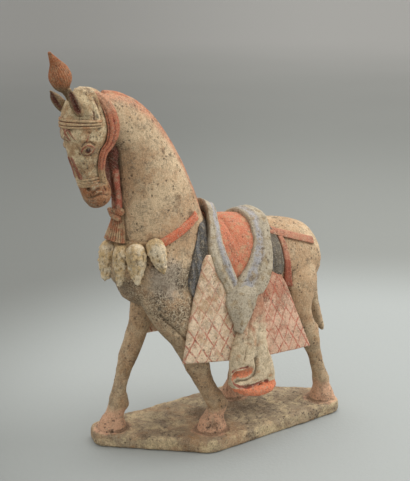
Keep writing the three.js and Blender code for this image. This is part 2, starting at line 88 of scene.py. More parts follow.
def closed(rings):
    """Joins rings of equal length into one skin: ring i, point j meets ring i + 1, point j + 1.

    Each end is sewn shut, point j to the point that faces it, so an end ring is best small or thin.
    """
    count, around = rings.shape[:2]
    points = rings.reshape(-1, 3)
    j = np.arange(around)
    k = (j + 1) % around
    start = np.arange(count - 1)[:, None] * around
    after = start + around
    faces = np.stack([start + j, start + k, after + k, after + j], -1).reshape(-1, 4)
    a = np.arange(around // 2 - 1)
    end = np.stack([a, around - 1 - a, around - 2 - a, a + 1], -1)
    faces = np.vstack([faces, end, end[:, ::-1] + (count - 1) * around])
    a, b, c, d = (points[faces[:, n]] for n in range(4))
    volume = (np.cross(b - a, c - a) * a).sum() + (np.cross(c - a, d - a) * a).sum()
    return points, faces if volume > 0 else faces[:, ::-1]


def formed(name, skins):
    """Puts skins, each (points in mm, faces of four corners), into one smooth object in metres."""
    starts = np.cumsum([0] + [len(points) for points, _ in skins[:-1]])
    points = np.vstack([points for points, _ in skins]) * MM
    faces = np.vstack([faces + start for (_, faces), start in zip(skins, starts)])
    mesh = bpy.data.meshes.new(name)
    mesh.from_pydata(points.tolist(), [], faces.tolist())
    mesh.shade_smooth()
    piece = bpy.data.objects.new(name, mesh)
    bpy.context.scene.collection.objects.link(piece)
    return piece


def srgb(red, green, blue):
    """A colour from its 0 to 255 screen values, as the linear light that the shader works in."""
    share = np.array([red, green, blue]) / 255
    linear = np.where(share < 0.04045, share / 12.92, ((share + 0.055) / 1.055) ** 2.4)
    return (*linear.tolist(), 1.0)


class Wire:
    """One output in a material. Arithmetic on wires and numbers adds Math nodes."""

    def __init__(self, tree, socket):
        self.tree = tree
        self.socket = socket

    def math(self, operation, *values):
        node = self.tree.nodes.new("ShaderNodeMath")
        node.operation = operation
        for socket, value in zip(node.inputs, values):
            plug(self.tree, value, socket)
        return Wire(self.tree, node.outputs[0])

    def __add__(self, other):
        return self.math("ADD", self, other)

    def __sub__(self, other):
        return self.math("SUBTRACT", self, other)

    def __rsub__(self, other):
        return self.math("SUBTRACT", other, self)

    def __mul__(self, other):
        return self.math("MULTIPLY", self, other)

    def __truediv__(self, other):
        return self.math("DIVIDE", self, other)

    def __abs__(self):
        return self.math("ABSOLUTE", self)

    def wave(self):
        return self.math("SINE", self)

    def at_least(self, other):
        return self.math("MAXIMUM", self, other)

    __radd__ = __add__
    __rmul__ = __mul__


def plug(tree, value, socket):
    """Links a wire to a socket, or sets the socket's own value."""
    if isinstance(value, Wire):
        tree.links.new(value.socket, socket)
    else:
        socket.default_value = value


class Finish:
    """One material. Its methods add nodes, read the piece's own coordinates and give back wires."""

    def __init__(self, name):
        self.material = bpy.data.materials.new(name)
        self.material.use_nodes = True
        self.tree = self.material.node_tree
        self.surface = self.tree.nodes["Principled BSDF"]
        self.place = self.node("ShaderNodeTexCoord", output="Object")

    def node(self, kind, settings=None, inputs=None, output=0):
        """Any node: its settings are set first, then the values or wires of its sockets."""
        node = self.tree.nodes.new(kind)
        for name, value in (settings or {}).items():
            setattr(node, name, value)
        for socket, value in (inputs or {}).items():
            plug(self.tree, value, node.inputs[socket])
        return Wire(self.tree, node.outputs[output])

    def noise(self, grain, detail=3, rough=0.55, at=None):
        """Cloudy noise from 0 to 1 whose lumps are about grain metres across."""
        inputs = {"Vector": at or self.place, "Scale": 1 / grain, "Detail": detail, "Roughness": rough}
        return self.node("ShaderNodeTexNoise", inputs=inputs)

    def rise(self, value, low, high):
        """0 below low, 1 above high and eased between them."""
        settings = {"interpolation_type": "SMOOTHSTEP"}
        return self.node("ShaderNodeMapRange", settings, {0: value, 1: low, 2: high})

    def blend(self, share, under, over):
        """One colour over another, by share."""
        return self.node("ShaderNodeMix", {"data_type": "RGBA"}, {0: share, 6: under, 7: over}, 2)

    def kept(self, name):
        """A value that the piece keeps at each point of its mesh."""
        return self.node("ShaderNodeAttribute", {"attribute_name": name}, output="Fac")

    def axis(self, k):
        """The piece's own x, y or z in metres, for k of 0, 1 or 2."""
        return self.node("ShaderNodeSeparateXYZ", inputs={0: self.place}, output=k)

    def over(self, under, paint, value, low, high, share=1.0):
        """A paint laid over a colour where value rises from low to high, and as dense as share."""
        return self.blend(self.rise(value, low, high) * share, under, paint)

    def wear(self, colour, rough, height, depth):
        """Feeds the surface: its colour, roughness, and a bump of depth metres."""
        plug(self.tree, colour, self.surface.inputs["Base Color"])
        plug(self.tree, rough, self.surface.inputs["Roughness"])
        normal = self.node("ShaderNodeBump", inputs={"Height": height, "Distance": depth})
        plug(self.tree, normal, self.surface.inputs["Normal"])
        return self.material


FLOOR_RADIUS = 14
FLOOR_NEAR = srgb(170, 175, 174)
FLOOR_MIDDLE = srgb(141, 144, 141)
FLOOR_FAR = srgb(180, 180, 178)
FLOOR_SIDE_SHADE = srgb(60, 61, 59)
CARD_THICK = 0.01
LIGHT_POOL_MIDDLE = (0.17, -0.02, 0)
SIDE_SHADE_WAY = (0.82, -0.57, 0)

spread = np.concatenate([[0.02], np.geomspace(0.2, FLOOR_RADIUS, 30), [FLOOR_RADIUS]])
drop = np.zeros(len(spread))
drop[-1] = -CARD_THICK
turn = np.linspace(0, 2 * np.pi, 96, endpoint=False)
card_points = np.stack([
    spread[:, None] * np.cos(turn),
    spread[:, None] * np.sin(turn),
    drop[:, None] + 0 * turn,
], -1)
floor = formed("floor", [closed(card_points / MM)])
card = Finish("pale_card")
# The card's colour is painted light: paler in a pool round the figure, darker in a ring beyond it, paler
# again far off.
from_light = card.node("ShaderNodeVectorMath", {"operation": "SUBTRACT"}, {0: card.place, 1: LIGHT_POOL_MIDDLE})
out = card.node("ShaderNodeVectorMath", {"operation": "LENGTH"}, {0: from_light}, 1)
card_tooth = card.noise(0.004, detail=5)
cloud = card.noise(0.9, detail=2)
card_colour = card.over(FLOOR_NEAR, FLOOR_MIDDLE, out + (cloud - 0.5) * 0.1, 0.27, 0.6)
card_colour = card.over(card_colour, FLOOR_FAR, out + (cloud - 0.5) * 0.8, 1.1, 5)
# Painted shade on the side of the card away from the window light.
aside = card.node("ShaderNodeVectorMath", {"operation": "DOT_PRODUCT"}, {0: card.place, 1: SIDE_SHADE_WAY}, 1)
side_shade = card.rise(aside / (out + 1.1), 0.12, -0.16) * card.rise(out, 0.25, 0.6)
card_colour = card.blend(side_shade * 0.36, card_colour, FLOOR_SIDE_SHADE)
card_colour = card.over(card_colour, FLOOR_MIDDLE, card_tooth, 0.3, 0.9, 0.04)
floor.data.materials.append(card.wear(card_colour, card_tooth * 0.1 + 0.85, card_tooth, 0.0003))

LAMP_TINT = (1, 0.99, 0.97)
ROOM_TINT = (1, 0.98, 0.94, 1)
ROOM_STRENGTH = 0.78


def soft_box(name, place, width, power):
    """A square soft light of that width in metres, aimed at the figure's middle."""
    data = bpy.data.lights.new(name, "AREA")
    data.size = width
    data.energy = power
    data.color = LAMP_TINT
    light = bpy.data.objects.new(name, data)
    light.location = place
    light.rotation_euler = (LOOKS_AT - Vector(place)).to_track_quat("-Z", "Y").to_euler()
    bpy.context.scene.collection.objects.link(light)


soft_box("window_light", (1.25, -0.75, 1.35), 1.1, 15.2)
soft_box("overhead_light", (0.55, 0.45, 1.5), 1.4, 9.8)
room = bpy.data.worlds.new("room")
room.use_nodes = True
room.node_tree.nodes["Background"].inputs["Color"].default_value = ROOM_TINT
room.node_tree.nodes["Background"].inputs["Strength"].default_value = ROOM_STRENGTH
bpy.context.scene.world = room


# Horse and slab. The body, neck and legs were pressed in moulds, luted together with slip and fired in one
# piece with the slab. Earthenware under a thin, worn cream slip, with pink on the hooves and the crest.
GROUND = 13
UNDERSIDE = 1
LEG_SPREAD = 29
LEG_TOP_SPREAD = [0.45, 0.76, 0.93]
LEFT = -1
RIGHT = 1
BOTH = (LEFT, RIGHT)
OFF_MIDDLE = 8
CLAY_GRAIN = 0.95
BODY_TRIANGLES = 190000

# Rows along the body: [x, y, z, half width, half depth], and how egg-shaped it is, if at all
TRUNK = [
    [-106, 0, 184, 21, 22], [-96, 0, 182, 30, 32], [-78, 0, 176, 36.5, 38], [-50, 0, 170, 39, 42],
    [-15, 0, 164, 39, 43], [20, 0, 161.5, 39, 42.5], [55, 0, 161.5, 38, 43], [78, 0, 160, 35.5, 40],
    [94, 0, 156, 30.5, 36], [104, 0, 154, 24.5, 30], [111, 0, 153, 17.5, 22],
]
NECK = [
    [-57, 0, 176, 34, 49, 0], [-66, 0, 206, 32, 45, 0.04], [-71.5, 0, 234, 28, 39.5, 0.08],
    [-77.5, 0, 259.5, 24.5, 33.5, 0.1], [-87.2, 0, 285.2, 21, 27.5, 0.1], [-100, 0, 304.8, 19, 23.5, 0.1],
    [-115.7, 0, 317.5, 17.5, 20, 0.05], [-131, 0, 324, 15, 16, 0],
]
TAIL = [
    [111, 0, 158, 8, 7], [114, 0, 137, 7, 7], [117, 0, 115, 6, 6], [123, 0, 95, 5.6, 5.4],
    [129.5, 0, 80, 4, 3.8], [133, 0, 73.5, 1.8, 1.8],
]
# Rows down a leg: [x, z, half width, half depth]
FORE_LEFT = [
    [-74, 172, 15, 22], [-73, 153, 17.5, 27], [-67, 133, 16, 23.5], [-58.5, 113, 13, 17],
    [-48.4, 88, 11, 12], [-43.8, 76, 10.2, 10.4], [-38.8, 64, 8.4, 8.8], [-32, 52, 8, 8.4],
    [-26.3, 43.5, 8.8, 9.6], [-22.8, 35.5, 8.6, 9], [-26, 28.5, 8.8, 9], [-28.3, 20, 12, 13],
    [-29.6, 9, 14, 16],
]
FORE_RIGHT = [
    [-64, 172, 15, 22], [-64, 156, 17, 23], [-67, 136, 14.5, 15.5], [-73.5, 111, 10.5, 10.7],
    [-80.5, 95, 9.8, 9.8], [-87, 80, 8.8, 8.4], [-92.7, 65, 7, 6.8], [-97, 50, 7, 6.9],
    [-97.7, 42, 8.6, 9.2], [-98.8, 35, 8.8, 9.3], [-102.3, 27, 8.6, 8.6], [-104.5, 19, 12, 12.7],
    [-106, 9, 14, 15.5],
]
HIND_LEFT = [
    [74, 168, 14, 22], [74, 148, 17.5, 26.5], [72, 129, 16.5, 21], [76, 108, 12.5, 14], [86, 91, 10.5, 11],
    [92, 78, 9.4, 9.6], [97.5, 63, 7.2, 6.8], [102.5, 47, 7, 6.9], [106.2, 36, 8.2, 8.4],
    [107.3, 27.5, 8.6, 8.6], [108.3, 19.5, 11.5, 12], [109, 9, 14, 15.5],
]
HIND_RIGHT = [
    [78, 168, 14, 22], [77, 148, 17.5, 26.5], [72, 129, 16, 21], [70, 108, 12, 14], [66, 91, 10.5, 11.3],
    [62, 78, 9.4, 10], [55, 63, 7.4, 7.4], [47, 47, 7.2, 7.4], [43, 36.5, 8.2, 8.7], [41.5, 28, 8.6, 8.8],
    [40, 19.5, 11.5, 12.5], [38.5, 9, 14, 15.5],
]
SLAB_OUTLINE = [[-128, 24], [-46, -55], [120, -46], [129, -11], [52, 56], [-119, 50]]
SLAB_CORNER = 9
# The slab's edge, from its underside up: [inset, height]
SLAB_EDGE = [[3, 0], [0.9, 0.8], [0, 3], [0, 10], [0.5, 11.8], [1.8, 12.8], [3.4, 13]]


def run(rows, t):
    """A smooth run through rows of numbers, t from 0 at the first to 1 at the last.

    Each stretch is a cubic whose slope at a row is half the step between the rows on both sides of it.
    """
    rows = np.asarray(rows, float)
    padded = np.vstack([2 * rows[0] - rows[1], rows, 2 * rows[-1] - rows[-2]])
    u = np.clip(np.asarray(t, float), 0, 1) * (len(rows) - 1)
    i = np.minimum(u.astype(int), len(rows) - 2)
    f = (u - i)[..., None]
    a, b, c, d = (padded[i + k] for k in range(4))
    return b + 0.5 * f * (c - a + f * (2 * a - 5 * b + 4 * c - d + f * (3 * b - a - 3 * c + d)))


def columns(rows, t):
    """The columns of a run through rows, at each t of a column."""
    return run(rows, t[:, 0]).T[..., None]


def unit(vectors):
    return vectors / np.maximum(np.linalg.norm(vectors, axis=-1, keepdims=True), 1e-9)


def on_limb(rows, t, angle, out=0.0):
    """Points on a limb at t along it and at an angle round it, plus out mm away from its middle.

    point = centre + across * width * cos(angle) * (1 + egg * sin(angle)) + deep * depth * sin(angle)
    """
    t, angle, out = np.broadcast_arrays(np.asarray(t, float), angle, out)
    row = run(rows, t)
    egg = row[..., 5] if row.shape[-1] > 5 else 0
    step = 1e-3
    along = unit((run(rows, np.minimum(t + step, 1)) - run(rows, np.maximum(t - step, 0)))[..., :3])
    across = unit(np.array([0, 1, 0]) - along * along[..., 1:2])
    deep = np.cross(along, across)
    swell = row[..., 3] * np.cos(angle) * (1 + egg * np.sin(angle))
    away = across * swell[..., None] + deep * (row[..., 4] * np.sin(angle))[..., None]
    return row[..., :3] + away + unit(away) * out[..., None], along


def limb(rows, lengthwise, around, first=0.5, last=0.5):
    """A limb's skin. Rounded ends go first or last times its smaller half width past the last ring."""
    ease = np.radians([85, 65, 42, 20])
    t = np.linspace(0, 1, lengthwise)
    angle = np.linspace(0, 2 * np.pi, around, endpoint=False)
    points, along = on_limb(rows, t[:, None], angle)
    ends = []
    for ring, way, reach, row in ((0, -1, first, rows[0]), (-1, 1, last, rows[-1])):
        middle = points[ring].mean(0)
        out = along[ring] * way * reach * min(row[3], row[4])
        shrink = np.cos(ease)[:, None, None]
        ends.append(middle + (points[ring] - middle) * shrink + out * np.sin(ease)[:, None, None])
    return closed(np.vstack([ends[0], points, ends[1][::-1]]))


def leg(rows, side):
    """A leg's rows set out sideways: its top is nearer the middle plane than its foot."""
    spread = np.full(len(rows), float(LEG_SPREAD))
    spread[:3] *= LEG_TOP_SPREAD
    rows = np.array(rows, float)
    return np.column_stack([rows[:, 0], side * spread, rows[:, 1:]])


def slab():
    """The slab's skin: its outline with each corner cut by a parabola, drawn in by the edge's insets."""
    corners = np.array(SLAB_OUTLINE, float)
    before = unit(np.roll(corners, 1, 0) - corners) * SLAB_CORNER
    after = unit(np.roll(corners, -1, 0) - corners) * SLAB_CORNER
    s = np.linspace(0, 1, 7)[:, None, None]
    round_corners = (corners + before * (1 - s) ** 2 + after * s ** 2).transpose(1, 0, 2).reshape(-1, 2)
    loop = np.vstack([round_corners, round_corners[:1]])
    length = np.concatenate([[0], np.cumsum(np.linalg.norm(np.diff(loop, axis=0), axis=1))])
    even = np.linspace(0, length[-1], 400, endpoint=False)
    outline = np.stack([np.interp(even, length, loop[:, k]) for k in (0, 1)], -1)
    way = unit(np.roll(outline, -1, 0) - np.roll(outline, 1, 0))
    inward = np.stack([-way[:, 1], way[:, 0]], -1)
    rings = [
        np.column_stack([outline + inward * inset, np.full(len(outline), float(height))])
        for inset, height in SLAB_EDGE
    ]
    return closed(np.array(rings))


def with_modifiers(piece):
    """Makes a piece's modifiers part of its mesh."""
    whole = bpy.data.meshes.new_from_object(piece.evaluated_get(bpy.context.evaluated_depsgraph_get()))
    piece.modifiers.clear()
    loose = piece.data
    piece.data = whole
    bpy.data.meshes.remove(loose)


def fused(piece, grain, softened):
    """Fuses a piece's skins into one skin of small squares, grain mm wide, with softened creases."""
    remesh = piece.modifiers.new("fuse", "REMESH")
    remesh.mode = "VOXEL"
    remesh.voxel_size = grain * MM
    smooth = piece.modifiers.new("soften", "SMOOTH")
    smooth.factor = 0.5
    smooth.iterations = softened
    with_modifiers(piece)
    piece.data.shade_smooth()


def read(items, what, width=3):
    """A value of each of a mesh's points or faces, width numbers wide."""
    values = np.empty(len(items) * width, np.float32)
    items.foreach_get(what, values)
    return values.reshape(-1, width).astype(float)


def places_of(piece):
    """A piece's points, in mm."""
    return read(piece.data.vertices, "co") / MM


def normals_of(piece):
    return read(piece.data.vertex_normals, "vector")


def moved(piece, places):
    piece.data.vertices.foreach_set("co", (places * MM).astype(np.float32).ravel())
    piece.data.update()


def pushed(piece, out):
    """Moves each point out mm along its own normal."""
    moved(piece, places_of(piece) + normals_of(piece) * out[:, None])


def keep(piece, name, values):
    """Keeps a value at each point, for the material to read."""
    layer = piece.data.attributes.new(name, "FLOAT", "POINT")
    layer.data.foreach_set("value", np.asarray(values, np.float32))


def lumps(places, grain, seed):
    """Uneven heights from -1 to 1, in lumps about grain mm across.

    Each corner of a cube lattice has a height of its own, and a point blends its eight corners.
    """
    cell = places / grain + seed * 17.3
    base = np.floor(cell).astype(np.int64)
    f = cell - base
    f = f * f * (3 - 2 * f)
    total = np.zeros(len(places))
    for corner in range(8):
        bits = np.array([corner & 1, corner >> 1 & 1, corner >> 2])
        mixed = ((base + bits) * np.array([73856093, 19349663, 83492791])).sum(-1) + seed * 97561
        mixed = (mixed ^ (mixed >> 13)) * 1274126177 & 0x7FFFFFFF
        height = (mixed ^ (mixed >> 16)) & 0xFFFF
        total += height / 32767.5 * np.prod(np.where(bits, f, 1 - f), axis=-1)
    return total - 1


def near(places, path):
    """Distance in mm from each place to a path of straight stretches, in two or three dimensions."""
    path = np.asarray(path, float)
    best = np.full(len(places), 1e9)
    for a, b in zip(path[:-1], path[1:]):
        stretch = b - a
        share = np.clip((places - a) @ stretch / (stretch @ stretch), 0, 1)
        best = np.minimum(best, np.linalg.norm(places - a - share[:, None] * stretch, axis=1))
    return best


def bell(distance, width):
    return np.exp(-(distance / width) ** 2)


def about(places, middle, wide):
    """A bell of that width round a point."""
    return bell(np.linalg.norm(places - middle, axis=1), wide)


def folded(places):
    """Both flanks laid on one: the distance from the middle plane takes the place of y."""
    return np.abs(places) * [0, 1, 0] + places * [1, 0, 1]


# Muscle and bone that stand out of the plain limbs: [x, y, z, how wide, how far out], mm
SWELLS = [
    [-88, -32, 178, 15, 2.2], [-88, 32, 178, 15, 2.2], [-62, -40, 158, 13, 1.6], [-62, 40, 158, 13, 1.6],
    [-84, -44, 150, 10, 1.5], [-92, -14, 158, 13, 2.5], [-92, 14, 158, 13, 2.5], [-97, 0, 168, 6, -2.0],
    [74, -40, 150, 16, 1.6], [74, 40, 150, 16, 1.6], [96, -22, 168, 12, 1.6], [96, 22, 168, 12, 1.6],
    [92, -38, 128, 9, 1.5], [92, 38, 128, 9, 1.5], [55, -42, 128, 9, -1.6], [55, 42, 128, 9, -1.6],
    [-55, -29, 78, 7, 1.6], [-37, -29, 82, 6, 1.2], [-97, 29, 83, 7, 1.3], [99, -29, 92, 5, 2.8],
    [96, -29, 103, 5, -1.2], [78, 29, 95, 6, 2.0], [-14, -29, 36, 4.5, 3], [-91, 29, 33, 4.5, 2.6],
    [116, -29, 33, 4.5, 2.4], [51, 29, 34, 4.5, 2.4], [-37, -33, 30, 5, 0.8], [-112, 25, 28, 5, 0.8],
    [-115, 0, 290, 9, -1.5],
]
# Creases drawn on one flank or on both: sides, half width, how far out, and [x, z] along them
CREASES = [
    [[LEFT], 1.7, -1.6, [[-91, 140], [-84, 131], [-75, 122], [-66, 113]]],
    [[LEFT], 1.5, -0.9, [[-66, 151], [-57, 141], [-50, 131]]],
    [BOTH, 4, -0.7, [[-96, 188], [-84, 181], [-74, 170], [-69, 158]]],
    [BOTH, 2.4, -1.3, [[96, 150], [88, 132], [86, 115]]],
    [BOTH, 2.2, -1.0, [[60, 160], [56, 142], [54, 128]]],
]

LEGS = [(FORE_LEFT, LEFT), (FORE_RIGHT, RIGHT), (HIND_LEFT, LEFT), (HIND_RIGHT, RIGHT)]
horse = formed("horse_and_slab", [
    limb(TRUNK, 60, 72, 0.6, 0.4),
    limb(NECK, 44, 60),
    *[limb(leg(rows, side), 60, 40, 0.5, 0.1) for rows, side in LEGS],
    limb(TAIL, 24, 24),
    slab(),
])
fused(horse, CLAY_GRAIN, 7)


def neighbours(piece):
    """The two points of every edge of a piece, and how many edges meet at each point."""
    ends = np.empty(len(piece.data.edges) * 2, np.int32)
    piece.data.edges.foreach_get("vertices", ends)
    a, b = ends.reshape(-1, 2).T
    count = len(piece.data.vertices)
    return a, b, np.maximum(np.bincount(a, minlength=count) + np.bincount(b, minlength=count), 1)


def averaged(places, a, b, valence):
    """Each point's neighbours' mean."""
    count = len(valence)
    sums = [np.bincount(a, places[b, k], count) + np.bincount(b, places[a, k], count) for k in range(3)]
    return np.stack(sums, -1) / valence[:, None]


# The wet slip was smoothed over the joint of neck, chest and shoulder: [x, y, z, how wide]
JOINT = [
    [-75, -34, 192, 24], [-75, 34, 192, 24], [-50, -30, 205, 16], [-50, 30, 205, 16], [-104, 0, 190, 18],
    [-66, -40, 168, 16], [-66, 40, 168, 16],
]
JOINT_PASSES = 60
places = places_of(horse)
joint_share = np.max([about(places, middle, wide) for *middle, wide in JOINT], axis=0)[:, None]
horse_edges = neighbours(horse)
for _ in range(2 * JOINT_PASSES):
    places = places + (averaged(places, *horse_edges) - places) * joint_share * 0.7
moved(horse, places)
normals = normals_of(horse)
lift = np.zeros(len(places))
for x, y, z, wide, out in SWELLS:
    lift += out * about(places, [x, y, z], wide)
for sides, wide, out, path in CREASES:
    for side in sides:
        lift += out * bell(near(places[:, [0, 2]], path), wide) * (places[:, 1] * side > OFF_MIDDLE)
underside = places[:, 2] < UNDERSIDE
lift += 0.34 * lumps(places, 9, 1) + 0.2 * lumps(places, 3.6, 2) + 0.13 * lumps(places, 1.9, 3)
pits = np.clip(lumps(places, 2.6, 4) - 0.42, 0, 1) * np.clip(lumps(places, 16, 5) + 0.45, 0, 1)
on_slab = np.clip((GROUND + 2 - places[:, 2]) / 3, 0, 1)
lift -= pits * 1.5
lift += on_slab * (0.6 * lumps(places, 13, 6) + 0.35 * lumps(places, 5, 7))
lift[underside] = 0
places = places + normals * lift[:, None]
places[:, 2] = np.maximum(places[:, 2], 0)
moved(horse, places)


def hollowness(piece, passes):
    """How far each point lies under the mean of its neighbours, which passes widen."""
    edges = neighbours(piece)
    start = places_of(piece)
    soft = start
    for _ in range(passes):
        soft = averaged(soft, *edges)
    return ((soft - start) * normals_of(piece)).sum(-1)


keep(horse, "hollow", hollowness(horse, 24))
thin = horse.modifiers.new("thin", "DECIMATE")
thin.ratio = min(1, BODY_TRIANGLES / (2 * len(horse.data.polygons)))
with_modifiers(horse)

places = places_of(horse)
crest_line = on_limb(NECK, np.linspace(0.12, 1, 30), np.radians(270))[0]
keep(horse, "crest", bell(near(places, crest_line), 17))
HOOVES = [[-31, -29], [-107, 29], [108, -29], [38, 29]]
HOOF_RADIUS = 14
HOOF_TOP = 41
hoof_distance = np.min([np.linalg.norm(places[:, :2] - hoof, axis=1) for hoof in HOOVES], axis=0)
hoof_paint = bell(np.maximum(hoof_distance - HOOF_RADIUS, 0), 6)
hoof_paint = hoof_paint * np.clip((HOOF_TOP - places[:, 2]) / 13, 0, 1)
keep(horse, "hoof", hoof_paint * np.clip((places[:, 2] - 9) / 4, 0, 1))
keep(horse, "shoulder", about(places, [-84, -38, 172], 24))
# Where damp soil lay longest, on chest, throat and fore legs, and painted shade on the slab under the belly
# and in the throat: [x, out from the middle, z, how wide]
DAMP_AND_SHADE = [
    [30, 6, 15, 34], [-14, 4, 15, 26], [-108, 10, 160, 24], [-92, 34, 148, 20], [-72, 40, 140, 22],
    [-66, 40, 172, 18], [-121, 12, 286, 14], [-40, 29, 92, 16],
]
half = folded(places)
keep(horse, "damp_and_shade", np.max([about(half, spot, wide) for *spot, wide in DAMP_AND_SHADE], axis=0))
# Painted shade on the faces that look down, under the belly, the chest and the tops of the legs.
under = np.clip(-normals_of(horse)[:, 2], 0, 1) * np.clip((190 - places[:, 2]) / 30, 0, 1)
keep(horse, "under", under * (places[:, 2] > 70))

SLIP = srgb(232, 204, 166)
WORN_SLIP = srgb(204, 168, 130)
BARE_CLAY = srgb(172, 122, 84)
WHITE_SLIP = srgb(230, 218, 192)
SOIL_AND_SHADE = srgb(106, 84, 60)
GREY_SOIL = srgb(112, 104, 90)
SPECK = srgb(52, 42, 34)
OCHRE = srgb(160, 114, 60)
SLAB_CREAM = srgb(230, 208, 164)
TAIL_PAINTED_LIGHT = srgb(242, 220, 186)
HOOF_PINK = srgb(236, 178, 146)
CREST_PINK = srgb(210, 142, 108)
SHOULDER_GREY = srgb(166, 158, 148)


def aged_and_shaded(finish, colour, soil, specks, flecks=0.4):
    """Burial wear over a colour: soil in clouds, flecks of white slip, dark mineral specks, and soil with
    painted shade in corners and hollows.

    Gives the colour, the roughness and the height for the bump.
    """
    coarse = finish.noise(0.017, 5, 0.62)
    medium = finish.noise(0.0052, 4, 0.62)
    fine = finish.noise(0.0024, 4, 0.65)
    sand = finish.noise(0.001, 3, 0.6)
    corner = finish.rise(finish.kept("corner") + (medium - 0.5) * 0.9, 0.25, 1.05) * 0.8
    hollow = finish.rise(finish.kept("hollow") + (medium - 0.5) * 0.5, 0.05, 0.62)
    stain = finish.rise(coarse * 0.55 + medium * 0.45 + (fine - 0.5) * 0.9, 0.49, 0.64)
    colour = finish.over(colour, WHITE_SLIP, fine + (coarse - 0.5) * 0.3, 0.56, 0.7, flecks)
    colour = finish.blend(stain * (soil * 0.65), colour, SOIL_AND_SHADE)
    colour = finish.over(colour, SOIL_AND_SHADE, medium + (fine - 0.5) * 0.9, 0.4, 0.2, soil * 0.6)
    grainy = finish.rise(finish.noise(0.0016, 2, 0.5) + (coarse - 0.5) * 0.5, 0.58, 0.68)
    colour = finish.blend(grainy * (soil * 0.5), colour, SPECK)
    # Soil and painted shade in corners and hollows.
    colour = finish.blend(hollow.at_least(corner) * (0.3 + 0.65 * soil), colour, SOIL_AND_SHADE)
    crowded = finish.rise(finish.noise(0.03, 2), 0.36, 0.62) * 0.45
    dots = 0
    spots = [(0.024, 0.2, 0.5, SOIL_AND_SHADE), (0.0034, 0.34, 0.7, SPECK), (0.009, 0.26, 0.82, SPECK)]
    for cell, size, rare, paint in spots:
        at = {"Vector": finish.place, "Scale": 1 / cell}
        away = finish.node("ShaderNodeTexVoronoi", inputs=at)
        pick = finish.node("ShaderNodeTexVoronoi", inputs=at, output=1)
        here = finish.rise(away + (fine - 0.5) * 0.9, size, size - 0.2)
        spot = here * finish.rise(pick + crowded, rare, rare + 0.4)
        colour = finish.blend(spot * (specks * 0.9), colour, paint)
        dots = spot.at_least(dots)
    colour = finish.over(colour, SPECK, sand, 0.42, 0.72, 0.3)
    colour = finish.over(colour, WHITE_SLIP, sand, 0.5, 0.3, 0.22)
    height = sand * 0.5 + fine * 0.7 + medium * 0.6 - dots * 0.5
    rough = 0.94 - finish.rise(coarse, 0.35, 0.7) * 0.12
    return colour, rough, height


def fired(piece, finish, colour, depth, **burial):
    """Gives a piece its finish: the painted colour under its burial wear and the painted shade in its
    corners, and a bump of depth metres.
    """
    piece.data.materials.append(finish.wear(*aged_and_shaded(finish, colour, **burial), depth))


body = Finish("slipped_earthenware")
x, z = body.axis(0), body.axis(2)
broad = body.noise(0.045, 4, 0.6)
mottle = body.noise(0.008, 5, 0.65)
colour = body.over(WORN_SLIP, SLIP, broad + (mottle - 0.5) * 0.6, 0.4, 0.62)
colour = body.over(colour, BARE_CLAY, body.noise(0.021, 6, 0.7), 0.56, 0.68, 0.5)
patches = body.noise(0.019, 8, 0.78)
of_legs = body.rise(z, 0.15, 0.09) * body.rise(z, 0.0155, 0.02)
colour = body.over(colour, OCHRE, patches, 0.52, 0.62, of_legs * 0.5)
colour = body.over(colour, GREY_SOIL, patches, 0.46, 0.36, of_legs * 0.45)
colour = body.over(colour, CREST_PINK, body.kept("crest") + (mottle - 0.5) * 0.5, 0.28, 0.75, 0.8)
colour = body.over(colour, SHOULDER_GREY, body.kept("shoulder") + (mottle - 0.5) * 0.9, 0.3, 0.8, 0.7)
low = body.rise(z, 0.15, 0.02)
damp_and_shade = body.rise(body.kept("damp_and_shade") + (mottle - 0.5) * 1.1, 0.35, 0.95)
# Damp soil, and painted shade on the slab and in the throat, darken these spots.
colour = body.blend(damp_and_shade * 0.5, colour, SOIL_AND_SHADE)
# Painted light: the rear side of the tail is paler.
colour = body.over(colour, TAIL_PAINTED_LIGHT, x, 0.111, 0.117, body.rise(z, 0.055, 0.07) * 0.2)
salt = body.noise(0.0013, 2, 0.5)
wet = damp_and_shade * body.rise(mottle, 0.3, 0.62)
colour = body.over(colour, SPECK, salt, 0.48, 0.62, wet * 0.75 + 0.08)
colour = body.over(colour, WHITE_SLIP, salt, 0.5, 0.36, damp_and_shade * 0.6 + 0.1)
of_slab = body.rise(z, 0.0155, 0.0135)
colour = body.over(colour, SOIL_AND_SHADE, mottle + low * 0.2, 0.42, 0.7, 0.2 + 0.1 * low)
colour = body.over(colour, GREY_SOIL, body.noise(0.03, 4, 0.6), 0.4, 0.58, of_slab * 0.5)
colour = body.over(colour, SLAB_CREAM, patches, 0.47, 0.6, of_slab * 0.7)
colour = body.over(colour, OCHRE, patches, 0.45, 0.36, of_slab * 0.55)
# Painted shade on the slab under the belly.
colour = body.blend(of_slab * damp_and_shade * 0.6, colour, SOIL_AND_SHADE)
colour = body.over(colour, HOOF_PINK, body.kept("hoof") + (mottle - 0.5) * 1.6, 0.35, 1.0, 0.62)
# Painted shade where the faces look down.
colour = body.blend(body.kept("under") * 0.55, colour, SOIL_AND_SHADE)
fired(horse, body, colour, 0.0011, soil=0.6, specks=0.75)
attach(horse, "root")
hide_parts("horse_figure")


# Head. It was pressed in its own mould and luted to the neck behind the jaw, and its lids, nostrils and lips
# were cut with a knife while the clay was soft. A paler slip, with red drawn on the nose and round the eyes.
HEAD = [
    [-139, 0, 338, 13, 13, 0], [-141.5, 0, 328, 16.5, 19, 0], [-142.8, 0, 318, 18.5, 21.5, 0.04],
    [-143, 0, 309, 18.5, 21.5, 0.04], [-143.2, 0, 300.5, 18, 19.5, 0], [-144, 0, 292, 16, 15.7, 0],
    [-143, 0, 283, 13, 13.8, 0], [-141.3, 0, 274, 11.2, 12.5, -0.04], [-138.2, 0, 265, 10.5, 12.5, 0],
    [-134.5, 0, 256, 11.3, 13.3, 0], [-132, 0, 249.5, 11.8, 13, 0], [-130.4, 0, 245, 10.3, 11, 0],
]
HEAD_GRAIN = 0.62
MUZZLE_TOP = 264
EYE = np.array([-149.3, 15.4, 293.8])
